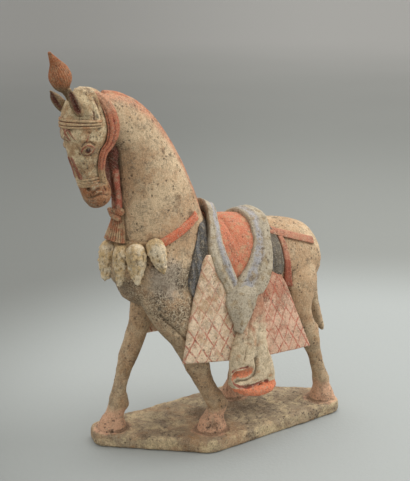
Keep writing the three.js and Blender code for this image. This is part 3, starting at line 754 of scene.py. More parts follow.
# [x, distance from the middle plane, z, how wide, how far out], mm
HEAD_SWELLS = [
    [-131, 17, 307, 10, 1.0], [-146, 17, 305, 4.5, -1.0], [-140, 15, 297, 4, -0.7],
    [-151.5, 13.8, 301.5, 3.6, 1.6], [-145.5, 16.5, 286.5, 3.4, -1.0], [-149.3, 15.4, 293.8, 3.3, -1.6],
    [-142.4, 9.3, 257.8, 3.8, 2.3], [-145, 7.2, 257.4, 2.1, -4.4], [-137, 10.5, 262, 4, 1.2],
    [-131, 0, 243, 7, 1.0], [-148, 0, 262, 6, 0.7], [-160.5, 0, 300, 5, -1.2], [-163, 9.5, 311, 3.6, -1.6],
    [-138, 12.5, 276, 5, -0.8],
]
# Half width, how far out, and [x, distance from the middle plane, z] along each line
HEAD_LINES = [
    [1.0, -1.3, [[-145, 5, 248.8], [-142, 8, 249.6], [-139.3, 10.2, 251.4], [-135.2, 11.2, 252.4],
     [-129, 11, 250.8]]],
    [1.0, -1.6, [[-141.8, 9.2, 254.2], [-140.2, 10.8, 256.6], [-137, 11.3, 257.4]]],
    [1.2, 1.0, [[-140.2, 9.8, 253.4], [-137.4, 10.9, 255.4], [-134.4, 11.2, 254.8]]],
    [0.8, -1.0, [[-143.4, 7.6, 253.2], [-142.6, 7.6, 249.6]]],
    [0.7, -0.9, [[-133.4, 11.1, 256.4], [-132, 11.2, 253.6]]],
    [1.0, -0.9, [[-141.7, 7.2, 246.5], [-135, 9.5, 246.8], [-128, 9.5, 248]]],
    [0.8, -1.1, [[-131.2, 10.8, 258.4], [-129.8, 11, 255]]],
    [1.6, 0.8, [[-151, 13, 285.5], [-145, 14.5, 282], [-138, 14, 284]]],
    [0.8, -0.5, [[-139.2, 17.7, 305.5], [-139, 15, 292]]],
    [1.3, 0.9, [[-157.5, 4.5, 285], [-154.5, 5, 275.5], [-151, 5.5, 267]]],
]
# Locks of hair that fall from the poll behind the ears, and the grooves between them
POLL_LOCKS = [
    [[-151, 5, 339], [-149, 12, 331], [-147.5, 16.5, 323], [-148, 18, 317]],
    [[-147.5, 6, 342], [-143.5, 13, 334.5], [-140.5, 17.5, 325], [-140.5, 19, 316]],
    [[-143, 6.5, 344], [-138, 13.5, 336], [-134, 18, 325], [-132.5, 19, 313]],
]
LOCK_GROOVES = [
    [[-149.3, 5.5, 341], [-146.4, 12.5, 333], [-143.5, 17.5, 324], [-144, 19, 317]],
    [[-145.3, 6, 343.5], [-140.8, 13.5, 335.5], [-137, 18, 325], [-136, 19, 314]],
]
# Forelock strands under the brow band, and hair on the poll
HAIR_LINES = [
    [[-165.5, -1.5, 314.5], [-163.2, -4.5, 307], [-161.5, -7, 301]],
    [[-165, -4.5, 314.5], [-161, -8.5, 307], [-158.5, -10.5, 303]],
    [[-163, -8.5, 314.5], [-163, -4, 308], [-162.6, -1, 302]],
    [[-164.6, 3, 314.5], [-163, 0.5, 307], [-161.5, -3, 300.5]],
    [[-164, 6, 314.5], [-161.5, 7.5, 307], [-159.5, 9, 302]],
    [[-160, -6, 322], [-154, -7, 331], [-148, -6.5, 338]],
    [[-161, -1.5, 323], [-156, -1.5, 331], [-149, -1.5, 340.5]],
    [[-160, 4.5, 322], [-154, 5.5, 331], [-148, 5.5, 338.5]],
    [[-147, -12, 331], [-142.5, -11, 337], [-136, -8.5, 341]],
    [[-150, -9.5, 331], [-146, -8.5, 337.5], [-139, -5, 343]],
]


def carve(piece, lines, mirrored=False, swells=()):
    """Pushes points along their normals: by a bell round each swell, and by one across each drawn line."""
    seen = folded(places_of(piece)) if mirrored else places_of(piece)
    out = np.zeros(len(seen))
    for *middle, wide, far in swells:
        out += far * about(seen, middle, wide)
    for wide, far, path in lines:
        out += far * bell(near(seen, path), wide)
    pushed(piece, out)


def weathered(piece, depth):
    """Lets the surface of fired and buried clay show: low lumps, fine grain and a few pits."""
    spots = places_of(piece)
    out = 0.14 * lumps(spots, 5, 1) + 0.09 * lumps(spots, 2.2, 2) + 0.05 * lumps(spots, 1.2, 3)
    out -= 0.7 * np.clip(lumps(spots, 2.1, 4) - 0.5, 0, 1)
    pushed(piece, depth * out)


def settled(piece, depth, passes=10, share=2):
    """Weathers a piece, and keeps how hollow each point is, for the soil and the painted shade in hollows."""
    weathered(piece, depth)
    keep(piece, "hollow", hollowness(piece, passes) * share)


brow = np.array([[-4.5, -4, 4, 3, 3], [0, -0.6, 1, 4.4, 5.5], [5.5, -2, -1, 2.6, 3]]) + [*EYE, 0, 0]
head = formed("head", [
    limb(HEAD, 64, 72),
    limb(brow, 12, 24),
    limb(brow * [1, -1, 1, 1, 1], 12, 24),
])
fused(head, HEAD_GRAIN, 5)
uncarved = places_of(head)
carve(head, HEAD_LINES, True, HEAD_SWELLS)
carve(head, [[1.0, 1.3, path] for path in HAIR_LINES])
locks = [[1.7, 0.8, path] for path in POLL_LOCKS] + [[0.7, -0.8, path] for path in LOCK_GROOVES]
carve(head, locks, True)

# The lids: a ridge round each eye, [how far back, how far up] from its middle, and the crease above it
LID = [
    [-5.2, -2.6], [-3.2, 1.8], [-0.4, 3.7], [2.4, 3.1], [5.2, 1], [3, -2.5], [0.2, -3.9], [-2.8, -3.9],
    [-5.2, -2.6],
]
spots = places_of(head)
beside = np.where(np.abs(spots[:, 1]) > 7, 1.0, 0.0)
# How far back is measured along the cheek, which turns 30 degrees from the middle plane
from_eye = folded(spots) - EYE
around_eye = np.column_stack([0.87 * from_eye[:, 0] + 0.5 * from_eye[:, 1], from_eye[:, 2]])
to_lid = near(around_eye, LID)
to_fold = near(around_eye, [[-5.5, 2.6], [-2, 6.2], [3, 6.2], [6, 3.6]])
pushed(head, beside * (1.4 * bell(to_lid, 1.1) - 1.0 * bell(to_fold, 0.9)))
settled(head, 0.9, 16, 1.6)

spots = places_of(head)
seen = folded(uncarved)
RED_LINES = [
    [3.2, [[-157.2, 2.6, 284], [-154.3, 3.2, 275.5], [-150.9, 4.4, 268]]],
    [1.0, [[-149, 17, 305], [-151.3, 16, 299.6]]], [0.7, [[-140.2, 10.8, 256.6], [-137, 11.3, 257.4]]],
    [0.8, [[-137, 12, 261.5], [-132, 11.8, 261]]], [1.0, [[-131.2, 10.8, 258.4], [-129.8, 11, 255]]],
    [0.9, [[-133.4, 11.1, 255.4], [-132, 11.2, 252.6]]],
    [0.8, [[-139.3, 10.2, 251.4], [-135.2, 11.2, 252.4], [-129, 11, 250.8]]],
    [1.6, [[-133, 15.5, 289], [-135.5, 14, 281], [-135, 12, 272]]],
]
painted_lines = RED_LINES + [[0.9, path] for path in LOCK_GROOVES]
red = np.max([bell(near(seen, path), wide) for wide, path in painted_lines], axis=0)
red = np.maximum(red, beside * np.maximum(0.85 * bell(to_lid, 0.8), 0.7 * bell(to_fold, 0.8)))
hair_red = np.max([bell(near(uncarved, path), 1.5) for path in HAIR_LINES[:5]], axis=0)
keep(head, "red", np.maximum(red, 0.9 * hair_red))
# Painted highlight: the nostril rim and the lip ridge are painted paler.
nostril_rim = about(seen, [-142, 10.4, 258.2], 2.4)
lip_ridge = bell(near(seen, [[-140.5, 9.6, 253.2], [-137.4, 10.9, 255.2], [-134.4, 11.2, 254.6]]), 1.0)
keep(head, "lips", np.maximum(nostril_rim, 0.7 * lip_ridge))
keep(head, "muzzle", np.clip((MUZZLE_TOP - spots[:, 2]) / 8, 0, 1))
keep(head, "green", about(seen, [-152, 12, 322], 13))

HEAD_SLIP = srgb(232, 210, 170)
HEAD_TAN = srgb(190, 156, 116)
HEAD_GREEN = srgb(142, 136, 108)
MUZZLE_ORANGE = srgb(158, 88, 46)
DRAWN_RED = srgb(150, 62, 46)

face = Finish("painted_face")
mottle = face.noise(0.005, 5, 0.65)
colour = face.over(HEAD_TAN, HEAD_SLIP, face.noise(0.02, 4) + (mottle - 0.5) * 0.5, 0.38, 0.6)
colour = face.over(colour, BARE_CLAY, face.noise(0.009, 6, 0.75), 0.53, 0.62, 0.6)
colour = face.over(colour, HEAD_GREEN, face.kept("green") + (mottle - 0.5) * 0.7, 0.4, 0.9, 0.5)
colour = face.over(colour, MUZZLE_ORANGE, face.kept("muzzle") + (mottle - 0.5) * 1.2, 0.3, 0.8, 0.7)
# Painted highlight on the nostril rim and the lip ridge.
colour = face.over(colour, HEAD_SLIP, face.kept("lips") + (mottle - 0.5) * 1.2, 0.3, 0.8, 0.75)
colour = face.over(colour, DRAWN_RED, face.kept("red") + (mottle - 0.5) * 0.5, 0.4, 0.75, 0.8)
fired(head, face, colour, 0.0006, soil=0.7, specks=0.7, flecks=0.5)
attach(head, "root")


# Eyes. Two low balls of clay were set in the sockets before the lids were shaped over them.
# The iris is red-brown and the pupil black, both painted.
EYE_OUT = 2.2
EYE_RADIUS = 4.3
EYE_SUNK = 0.62


def turned(profile, foot, tip, around=48, flutes=0, cut=0.0):
    """A form turned about the line from foot to tip: its profile is [radius in mm, share of that line].

    Flutes cut into it: radius * (1 - cut * (1 - |cos(flutes * angle / 2)|)).
    """
    foot, tip = np.array(foot, float), np.array(tip, float)
    axis = unit(tip - foot)
    side = unit(np.cross(axis, [0.3, 1, 0.2]))
    other = np.cross(axis, side)
    angle = np.linspace(0, 2 * np.pi, around, endpoint=False)
    radius, share = np.array(profile, float).T
    cut_in = 1 - cut * (1 - np.abs(np.cos(flutes * angle / 2)))
    ring = np.cos(angle)[:, None] * side + np.sin(angle)[:, None] * other
    middle = foot + share[:, None] * (tip - foot)
    return closed(middle[:, None] + radius[:, None, None] * (cut_in[:, None] * ring))


def smooth_profile(profile, count):
    """More rows of a profile, on a smooth run through its own."""
    return run(np.array(profile, float), np.linspace(0, 1, count))


half_turn = np.linspace(0.02, np.pi - 0.02, 24)
ball_profile = np.column_stack([EYE_RADIUS * np.sin(half_turn), (1 - np.cos(half_turn)) / 2])
outward = unit(np.array([-0.50, 0.86, 0.0]))
eye_skins = []
for side in BOTH:
    flip = np.array([1, side, 1])
    middle = (EYE + outward * (EYE_OUT - EYE_RADIUS * EYE_SUNK)) * flip
    reach = outward * flip * EYE_RADIUS
    eye_skins.append(turned(ball_profile, middle - reach, middle + reach))
eyes = formed("eyes", eye_skins)
spots = places_of(eyes)
seen = folded(spots)
gaze = EYE + np.array([0.3, 0.2, 0.2])
off_axis = seen - gaze
off_axis = off_axis - (off_axis @ outward)[:, None] * outward
keep(eyes, "from_pupil", np.linalg.norm(off_axis, axis=1))
keep(eyes, "hollow", 0 * spots[:, 0])

EYE_WHITE = srgb(150, 106, 80)
IRIS = srgb(112, 60, 44)
PUPIL = srgb(62, 36, 28)
glance = Finish("painted_eye")
away = glance.kept("from_pupil") + (glance.noise(0.0012) - 0.5) * 0.6
colour = glance.over(IRIS, EYE_WHITE, away, 2.7, 3.1)
colour = glance.over(colour, PUPIL, away, 2.2, 1.8)
fired(eyes, glance, colour, 0.0002, soil=0.25, specks=0.3)
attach(eyes, "root")


# Plume, ears and mane. The plume is a bulb of hair bound on a stem, the ears are pinched leaves with a hollow
# front, and the mane is a hogged ridge. All are clay, stuck on before firing, in terracotta, green and pink.
PLUME = [
    [-151, 0, 328, 4.2, 4.2], [-156, 0, 336, 3.4, 3.4], [-160, 0, 342.5, 3.8, 3.8], [-163, 0, 348, 8, 8],
    [-165, 0, 354.5, 9.9, 9.9], [-167, 0, 361, 8.3, 8.3], [-169.5, 0, 366.5, 5, 5],
    [-172.5, 0, 371.5, 2.7, 2.7], [-174.5, 0, 375, 1.4, 1.4],
]
PLUME_STRANDS = 26
PLUME_CUT = 0.55
EAR_FALL = 4.5
EAR_OUT = 13
EAR_NARROW = 0.88


def grooved(rows, lengthwise, around, strands, cut, first=0.5, last=0.5, twist=0.0):
    """A limb with grooves along it: each point sinks by cut * |sin(strands * (angle + twist * t) / 2)| mm.

    The grooves fade out where the limb is thin.
    """
    points, faces = limb(rows, lengthwise, around, first, last)
    rings = len(points) // around
    t = np.clip((np.arange(rings) - 4) / (rings - 9), 0, 1)[:, None]
    angle = np.linspace(0, 2 * np.pi, around, endpoint=False)
    middle = points.reshape(rings, around, 3).mean(1, keepdims=True)
    away = points.reshape(rings, around, 3) - middle
    size = np.linalg.norm(away, axis=-1)
    sink = cut * (1 - np.abs(np.sin(strands * (angle + twist * t) / 2))) * np.clip(size / 5, 0, 1)
    return (middle + away * (1 - sink / np.maximum(size, 1))[..., None]).reshape(-1, 3), faces


def ear(side):
    """A leaf of rows, wide in its middle. The right one is broader and leans further out."""
    y = side * EAR_OUT
    fall = EAR_FALL if side == RIGHT else 0
    wide = 1.0 if side == RIGHT else EAR_NARROW
    return limb([
        [-149.5, y * 0.66, 320, 3.2, 3.4],
        [-155, y * 0.95, 326, 5.4 * wide, 4.6 * wide],
        [-159 - fall / 4, y, 333 - fall / 3, 6.1 * wide, 5 * wide],
        [-162.5 - fall / 2, y * 1.08, 340.5 - fall * 0.7, 4.2 * wide, 3.6 * wide],
        [-165 - fall / 2, y * 1.15, 346 - fall, 1.3, 1.3],
    ], 40, 40)


plume = formed("plume", [grooved(PLUME, 80, 156, PLUME_STRANDS, PLUME_CUT, 0.3, 0.8, twist=0.5)])
keep(plume, "hollow", hollowness(plume, 10) * 3)
PLUME_RED = srgb(176, 108, 68)
PLUME_PALE = srgb(186, 150, 112)
PLUME_STEM = srgb(128, 116, 88)
hair = Finish("plume_terracotta")
mottle = hair.noise(0.004, 4)
colour = hair.over(PLUME_RED, PLUME_PALE, mottle, 0.45, 0.72, 0.6)
colour = hair.over(colour, PLUME_STEM, hair.axis(2) + (mottle - 0.5) * 0.01, 0.349, 0.343, 0.8)
fired(plume, hair, colour, 0.0005, soil=0.6, specks=0.5, flecks=0.15)
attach(plume, "root")

# [x, y, z] down the hollow of each ear: the left one is turned outwards, the right one forwards
EAR_HOLLOWS = [
    [[-158.6, -16.6, 327], [-161.8, -17.8, 333.5], [-164.2, -17.2, 340.5]],
    [[-163.2, 8.2, 325.5], [-166, 10.4, 332], [-168, 13.2, 338]],
]
ears = formed("ears", [ear(side) for side in BOTH])
fused(ears, 0.6, 2)
spots = places_of(ears)
keep(ears, "inner", np.max([bell(near(spots, path), 3.8) for path in EAR_HOLLOWS], axis=0))
carve(ears, [[2.7, -4.2, path] for path in EAR_HOLLOWS])
settled(ears, 0.8, 12, 1.5)
EAR_GREEN = srgb(128, 106, 78)
EAR_RED = srgb(104, 44, 34)
leaf = Finish("painted_ear")
mottle = leaf.noise(0.004, 5)
colour = leaf.over(EAR_GREEN, HEAD_TAN, mottle, 0.4, 0.7, 0.7)
colour = leaf.over(colour, EAR_RED, leaf.kept("inner") + (mottle - 0.5) * 0.4, 0.3, 0.62, 0.9)
fired(ears, leaf, colour, 0.0004, soil=0.7, specks=0.5)
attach(ears, "root")


def strip(top, under):
    """A strap's skin: a grid of outer points and one of inner points, sewn along all four edges."""
    return closed(np.concatenate([top, under[:, ::-1]], axis=1))


def crowned(s, power=4.0):
    """The height of a strap across its width, s from -1 to 1: (1 - |s| ** power) ** (1 / power)."""
    return np.maximum(1 - np.abs(s) ** power, 0) ** (1 / power)


mane_t = np.linspace(0.2, 1.0, 90)[:, None]
mane_s = np.linspace(-1, 1, 25)
mane_half = (8 + 1.5 * np.sin(np.pi * mane_t)) / 24
mane_ends = np.clip((mane_t - 0.2) / 0.05, 0, 1) ** 0.5
mane_angle = np.radians(270) + mane_s * mane_half
mane_high = 2.3 * np.cos(np.pi * mane_s / 2) ** 2 * mane_ends + 0.14 * np.sin(mane_s * 19 + 5 * mane_t) - 0.25
mane_top = on_limb(NECK, mane_t, mane_angle, mane_high)[0]
mane_under = on_limb(NECK, mane_t, mane_angle, -3.5 + 0 * mane_high)[0]
mane = formed("mane", [strip(mane_top, mane_under)])
settled(mane, 1.0)
MANE_PINK = srgb(196, 126, 94)
MANE_PALE = srgb(202, 154, 120)
ridge = Finish("painted_mane")
mottle = ridge.noise(0.007, 5)
colour = ridge.over(MANE_PINK, MANE_PALE, mottle, 0.42, 0.6)
fired(mane, ridge, colour, 0.0006, soil=0.5, specks=0.6)
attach(mane, "root")


# Bridle. A brow band and a nose band, each a strip of clay scored into three ribs, and a cheek strap that
# runs from behind the ear round the jaw. The ribs kept their cream slip. Grooves and cheek straps are red.
BAND_ROWS = 110
BAND_ACROSS = 49


def scored(s):
    """Three ribs across a strap: its crown, with two grooves at a third of its width from the middle."""
    return crowned(s, 6) * (1 - 0.75 * bell(np.abs(s) - 0.36, 0.1))


def head_band(t, first, last, half_t, rise, tilt):
    """A scored strap round the head at t, from one angle to another, its back end lowered by tilt."""
    angle = np.radians(np.linspace(first, last, BAND_ROWS))[:, None]
    s = np.linspace(-1, 1, BAND_ACROSS)
    where = t + half_t * s + 0 * angle
    top = on_limb(HEAD, where, angle, rise * scored(s) - 0.4)[0]
    under = on_limb(HEAD, where, angle, -2.5 + 0 * where)[0]
    middle = run(HEAD, np.array(t))[0]
    for grid in (top, under):
        grid[..., 2] -= tilt * (grid[..., 0] - middle)
    return strip(top, under)


HEAD_LENGTH = 93
brow_band = head_band(0.212, 165, 375, 3.2 / HEAD_LENGTH, 1.9, 0)
nose_band = head_band(0.733, 150, 390, 3.1 / HEAD_LENGTH, 1.9, 0.22)
bands = formed("bridle_bands", [brow_band, nose_band])
settled(bands, 0.6, 8, 1.5)
outer_and_inner = [scored(np.linspace(-1, 1, BAND_ACROSS)), np.zeros(BAND_ACROSS)]
keep(bands, "rib", np.tile(np.concatenate(outer_and_inner), 2 * BAND_ROWS))
BAND_CREAM = srgb(208, 178, 138)
BAND_RED = srgb(142, 78, 58)
BAND_ORANGE = srgb(190, 124, 82)
scoring = Finish("scored_band")
mottle = scoring.noise(0.004, 5)
colour = scoring.over(BAND_CREAM, HEAD_TAN, mottle, 0.45, 0.7, 0.6)
colour = scoring.over(colour, BAND_ORANGE, scoring.noise(0.011, 4, 0.6), 0.47, 0.6, 0.6)
colour = scoring.over(colour, BAND_RED, scoring.kept("rib") + (mottle - 0.5) * 0.3, 0.78, 0.5, 0.8)
fired(bands, scoring, colour, 0.0004, soil=0.5, specks=0.5)
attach(bands, "root")

# [x, distance from the middle plane, z, half depth]
CHEEK_STRAP = [
    [-141, 7.5, 340.5, 3], [-135.4, 12, 337, 3.6], [-130.2, 15.4, 330.5, 4.8], [-126.6, 17.2, 321.5, 5.8],
    [-124.6, 17.6, 311.5, 6], [-125.4, 17.1, 303, 5.5], [-128.2, 16.2, 296, 4.3], [-132.6, 14.8, 290, 3.8],
    [-134.4, 13.2, 281.5, 3.5], [-134, 11.9, 272.5, 3.3], [-132.6, 11.8, 264, 3.5],
]
CHEEK_HALF = 2.6
cheeks = []
for side in BOTH:
    rows = np.insert(np.array(CHEEK_STRAP, float), 3, CHEEK_HALF, axis=1) * [1, side, 1, 1, 1]
    cheeks.append(grooved(rows, 90, 60, 6, 0.8))
straps = formed("cheek_straps", cheeks)
settled(straps, 0.9)
STRAP_RED = srgb(150, 64, 48)
STRAP_PALE = srgb(204, 128, 94)
STRAP_FADED = srgb(206, 166, 134)
STRAP_WORN = srgb(176, 156, 116)
leather = Finish("red_strap")
mottle = leather.noise(0.005, 5, 0.65)
low = leather.rise(leather.kept("hollow") + (mottle - 0.5) * 0.8, 0.16, -0.14)
colour = leather.blend(low * 0.85, STRAP_RED, STRAP_PALE)
x, z = leather.axis(0), leather.axis(2)
worn = leather.rise(z + (mottle - 0.5) * 0.01, 0.278, 0.271) * leather.rise(x, -0.1275, -0.1295)
colour = leather.blend(worn * 0.75, colour, STRAP_WORN)
faded = leather.rise(z + (mottle - 0.5) * 0.02, 0.318, 0.334) * (1 - low * 0.2)
colour = leather.blend(faded * 0.75, colour, STRAP_FADED)
fired(straps, leather, colour, 0.0005, soil=0.6, specks=0.55)
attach(straps, "root")


# Throat rope and tassel. Two strands hang down the throat to a knot, and below it they spread in a combed
# tassel. Each is a roll of clay laid on the neck; the strands are rose red with cream edges.
ROPE = [[-119, 291, 3.2], [-116, 278, 3.2], [-114.6, 262, 3.2], [-112.8, 244, 3.2], [-112, 229, 3.2]]
ROPE_APART = 3.4
# Behind the jaw a dark lashing holds the strands, and a dark sheet of clay fills the corner between jaw and
# throat as painted shade.
LASHING = [
    [-119, -2.5, 294, 5.5, 5], [-118.6, -2.5, 287, 8, 6.2], [-118.2, -1.5, 279, 7.2, 5.6],
    [-117, 0, 271, 6.2, 4.4], [-116, 0, 265, 5.2, 3.2],
]
THROAT_FILL = [
    [-123.5, 0, 292, 5, 8.5], [-124.8, 0, 280, 4.5, 8], [-125, 0, 268, 4, 7], [-124, 0, 256, 3.4, 6],
    [-122, 0, 247, 2.4, 4.5],
]
THROAT_TASSEL = [[-111, 0, 231, 7, 4.6], [-112.5, 0, 220, 9.5, 6], [-115.5, 0, 206, 14, 8]]
KNOT = [[0.3, 0], [3.2, 0.08], [4.3, 0.28], [4.1, 0.5], [4.2, 0.74], [2.8, 0.92], [0.3, 1]]
strands = [
    grooved([[x, side * ROPE_APART, z, r, r] for x, z, r in ROPE], 90, 40, 3, 0.7, twist=7 * side)
    for side in BOTH
]
lashing_and_shade_web = [grooved(LASHING, 60, 60, 7, 1.0, twist=9), limb(THROAT_FILL, 40, 40)]
rope = formed("throat_rope", strands + lashing_and_shade_web)
settled(rope, 0.8)
spots = places_of(rope)
# Dark on the lashing, and painted shade on the sheet in the corner behind the jaw.
keep(rope, "dark_lashing_and_shade", np.clip(np.maximum((spots[:, 2] - 268) / 6, (-118 - spots[:, 0]) / 2), 0, 1))
ROSE = srgb(192, 104, 82)
ROSE_PALE = srgb(200, 164, 138)
LASHING_AND_SHADE_DARK = srgb(92, 46, 38)
rosy = Finish("rose_rope")
mottle = rosy.noise(0.005, 5)
colour = rosy.over(ROSE, ROSE_PALE, mottle, 0.46, 0.64, 0.8)
colour = rosy.over(colour, LASHING_AND_SHADE_DARK, rosy.kept("dark_lashing_and_shade") + (mottle - 0.5) * 0.6, 0.3, 0.7, 0.85)
fired(rope, rosy, colour, 0.0005, soil=0.6, specks=0.4)
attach(rope, "root")

knot = turned(smooth_profile(KNOT, 40), [-112.5, -9.5, 233], [-112.5, 9.5, 231], 48, 9, 0.06)
tie = limb([[-115.5, -8, 227, 2, 2.4], [-117.5, 0, 229.5, 2.2, 2.6], [-115.5, 8, 233, 2, 2.4]], 24, 24)
combed = grooved(THROAT_TASSEL, 60, 144, 24, 1.3, 0.5, 0.12)
tassel = formed("throat_tassel", [knot, tie, combed])
settled(tassel, 0.7)
TASSEL_CREAM = srgb(200, 170, 132)
TASSEL_ORANGE = srgb(184, 122, 88)
fringe = Finish("combed_tassel")
mottle = fringe.noise(0.006, 5)
colour = fringe.over(TASSEL_ORANGE, TASSEL_CREAM, mottle, 0.42, 0.62)
fired(tassel, fringe, colour, 0.0005, soil=0.6, specks=0.4)
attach(tassel, "root")


# Breast strap and its tassels. A flat strap runs from the saddle cloth round the chest, and fluted tassels
# that end in a point hang from it. The strap is painted orange-red, and the tassels kept their cream slip.
REACH_CELL = 2.0
FAR = 1000
CHEST_X = -72
CHEST_Z = 203
horse_places = places_of(horse)


def reach_over(u, v, reach):
    """The furthest reach of the clay over a grid of cells, as a function of two places on the grid.

    Empty cells take the mean of their neighbours, and the whole grid is blurred a little.
    """
    low = np.array([u.min(), v.min()])
    size = ((np.array([u.max(), v.max()]) - low) / REACH_CELL).astype(int) + 2
    grid = np.full(size, -1.0)
    iu, iv = ((u - low[0]) / REACH_CELL).astype(int), ((v - low[1]) / REACH_CELL).astype(int)
    np.maximum.at(grid, (iu, iv), reach)
    for _ in range(60):
        around = np.pad(grid, 1, mode="edge")
        nearby = np.array([around[i:i + size[0], j:j + size[1]] for i in range(3) for j in range(3)])
        known = (nearby >= 0).sum(0)
        mean = np.where(nearby >= 0, nearby, 0).sum(0) / np.maximum(known, 1)
        grid = np.where((grid < 0) & (known > 0), mean, grid)
    for _ in range(3):
        around = np.pad(grid, 1, mode="edge")
        grid = np.mean([around[i:i + size[0], j:j + size[1]] for i in range(3) for j in range(3)], axis=0)

    def reach_at(a, b):
        """The reach at a and b, blended from the four cells round them."""
        p = np.clip((a - low[0]) / REACH_CELL - 0.5, 0, size[0] - 1.001)
        q = np.clip((b - low[1]) / REACH_CELL - 0.5, 0, size[1] - 1.001)
        i, j = p.astype(int), q.astype(int)
        f, g = p - i, q - j
        top = grid[i, j] * (1 - g) + grid[i, j + 1] * g
        return top * (1 - f) + (grid[i + 1, j] * (1 - g) + grid[i + 1, j + 1] * g) * f

    return reach_at


def clay_within(low, high):
    """The x, y and z of the horse's points between two corners."""
    return horse_places[((horse_places > low) & (horse_places < high)).all(1)].T


def flank_reach(side):
    """How far out the clay of one flank goes, over x and z."""
    x, y, z = clay_within([-FAR, -FAR, 120], [FAR, FAR, 240])
    there = y * side > 4
    return reach_over(x[there], z[there], y[there] * side)


def reach_round(aside, ahead, along):
    """How far the clay goes from an axis, over the angle round it in degrees and the place along it."""
    return reach_over(np.degrees(np.arctan2(aside, ahead)), along, np.hypot(aside, ahead))


flank_out = {side: flank_reach(side) for side in BOTH}
x, y, z = clay_within([-FAR, -FAR, 150], [CHEST_X, FAR, 240])
chest_out = reach_round(y, CHEST_X - x, z)

STRAP_SINK = 2.5
STRAP_END = 0.05


def rounded(share):
    """A quarter circle's height, from 0 at share 0 to 1 from share 1 on."""
    share = np.clip(share, 0, 1)
    return np.sqrt(share * (2 - share))


def flank_strap(side, path, half, rise):
    """A strap on a flank along [x, z], with half its width at its two ends and its rise.

    Across it, s from -1 to 1, it rises by rise * crown(s), and its ends round off.
    """
    t = np.linspace(0, 1, 80)[:, None]
    s = np.linspace(-1, 1, 25)
    middle = run(path, t[:, 0])
    way = unit(np.gradient(middle, axis=0))
    half = np.interp(t, [0, 1], half)
    u = middle[:, :1] + way[:, 1:] * s * half
    v = middle[:, 1:] - way[:, :1] * s * half
    ends = rounded(t / STRAP_END) * rounded((1 - t) / STRAP_END)
    out = flank_out[side](u, v)
    top = np.stack([u, side * (out + rise * crowned(s) * ends), v], -1)
    under = np.stack([u, side * (out - STRAP_SINK), v], -1)
    return strip(top, under)


STRAP_HALF = 3.8
BREAST_STRAP = [[-92, 202], [-80, 207], [-68, 212.5], [-56, 218], [-42, 224.5]]
breast = [flank_strap(side, BREAST_STRAP, [STRAP_HALF] * 2, 3.0) for side in BOTH]
chest_angle = np.linspace(-70, 70, 120)[:, None]
s = np.linspace(-1, 1, 21)
chest_z = CHEST_Z + STRAP_HALF * s + 0 * chest_angle
chest_skin = []
for lift in (2.8 * crowned(s), -3 + 0 * s):
    out = chest_out(chest_angle + 0 * s, chest_z) + lift
    a = np.radians(chest_angle)
    chest_skin.append(np.stack([CHEST_X - np.cos(a) * out, np.sin(a) * out, chest_z], -1))
breast_strap = formed("breast_strap", [*breast, strip(*chest_skin)])
settled(breast_strap, 0.8)
ORANGE = srgb(216, 116, 82)
ORANGE_WORN = srgb(204, 154, 120)
TASSEL_WORN = srgb(178, 154, 116)
painted = Finish("orange_strap")
mottle = painted.noise(0.006, 5, 0.65)
colour = painted.over(ORANGE, ORANGE_WORN, mottle, 0.48, 0.66, 0.7)
colour = painted.over(colour, TASSEL_WORN, painted.axis(0) + (mottle - 0.5) * 0.02, -0.086, -0.092, 0.9)
fired(breast_strap, painted, colour, 0.0005, soil=0.35, specks=0.5)
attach(breast_strap, "root")

TASSEL_TOP = 205
# [where it hangs from], [its tip], how thick against the plainest
TASSELS = [
    [[-113.6, -9, 204], [-117.5, -9.8, 165], 1.0], [[-108, -24, 207], [-109.5, -27.5, 170], 1.18],
    [[-113.6, 9.5, 204.5], [-119.6, 12.5, 165], 1.22], [[-96, -32, 211], [-88.5, -38.5, 179.5], 1.1],
    [[-99, 29.5, 210], [-93, 36, 178], 1.1],
]
# [radius, share of the length from the top]
TASSEL_PROFILE = [
    [0.3, 0], [3.8, 0.03], [6.6, 0.12], [7.8, 0.28], [7.6, 0.42], [6.5, 0.6], [4.6, 0.78], [2.6, 0.92],
    [0.4, 1],
]
tassels = formed("chest_tassels", [
    turned(smooth_profile(TASSEL_PROFILE, 70) * [thick, 1], top, tip, 72, 9, 0.08)
    for top, tip, thick in TASSELS
])
spots = places_of(tassels)
beads = np.clip(lumps(spots, 2.3, 21), -0.3, 1) * 1.5 + 0.5 * lumps(spots, 5, 22)
lower = np.clip((TASSEL_TOP - spots[:, 2]) / 10, 0.2, 1)
pushed(tassels, beads * lower * 0.8)
keep(tassels, "hollow", hollowness(tassels, 12) * 1.6)
TASSEL_PALE = srgb(248, 230, 198)
TASSEL_OLIVE = srgb(220, 190, 142)
bead = Finish("beaded_tassel")
mottle = bead.noise(0.008, 5)
colour = bead.over(TASSEL_OLIVE, TASSEL_PALE, mottle, 0.42, 0.62)
fired(tassels, bead, colour, 0.0007, soil=0.55, specks=0.4)
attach(tassels, "root")


# Saddle cloths. A dark blanket lies on the back, an orange seat on it, and two grey cloths are drawn over the
# bows of the saddle and down each flank to the seat's point. Rolled clay sheets, pressed on and painted.
AXIS_Z = 165
x, y, z = clay_within([-90, -FAR, 95], [90, FAR, 215])
barrel_out = reach_round(y, z - AXIS_Z, x)


def on_barrel(angle, x, lift):
    """Points lift mm out of the body. An angle of 0 degrees is the spine, and -90 the left flank."""
    out = barrel_out(angle, x) + lift
    a = np.radians(angle)
    return np.stack([x + 0 * out, np.sin(a) * out, AXIS_Z + np.cos(a) * out], -1)


def both_flanks(rows):
    """Rows that start with an angle, repeated on the other side of the spine."""
    rows = np.array(rows, float)
    return np.vstack([rows[:0:-1] * ([-1] + [1] * (rows.shape[1] - 1)), rows])


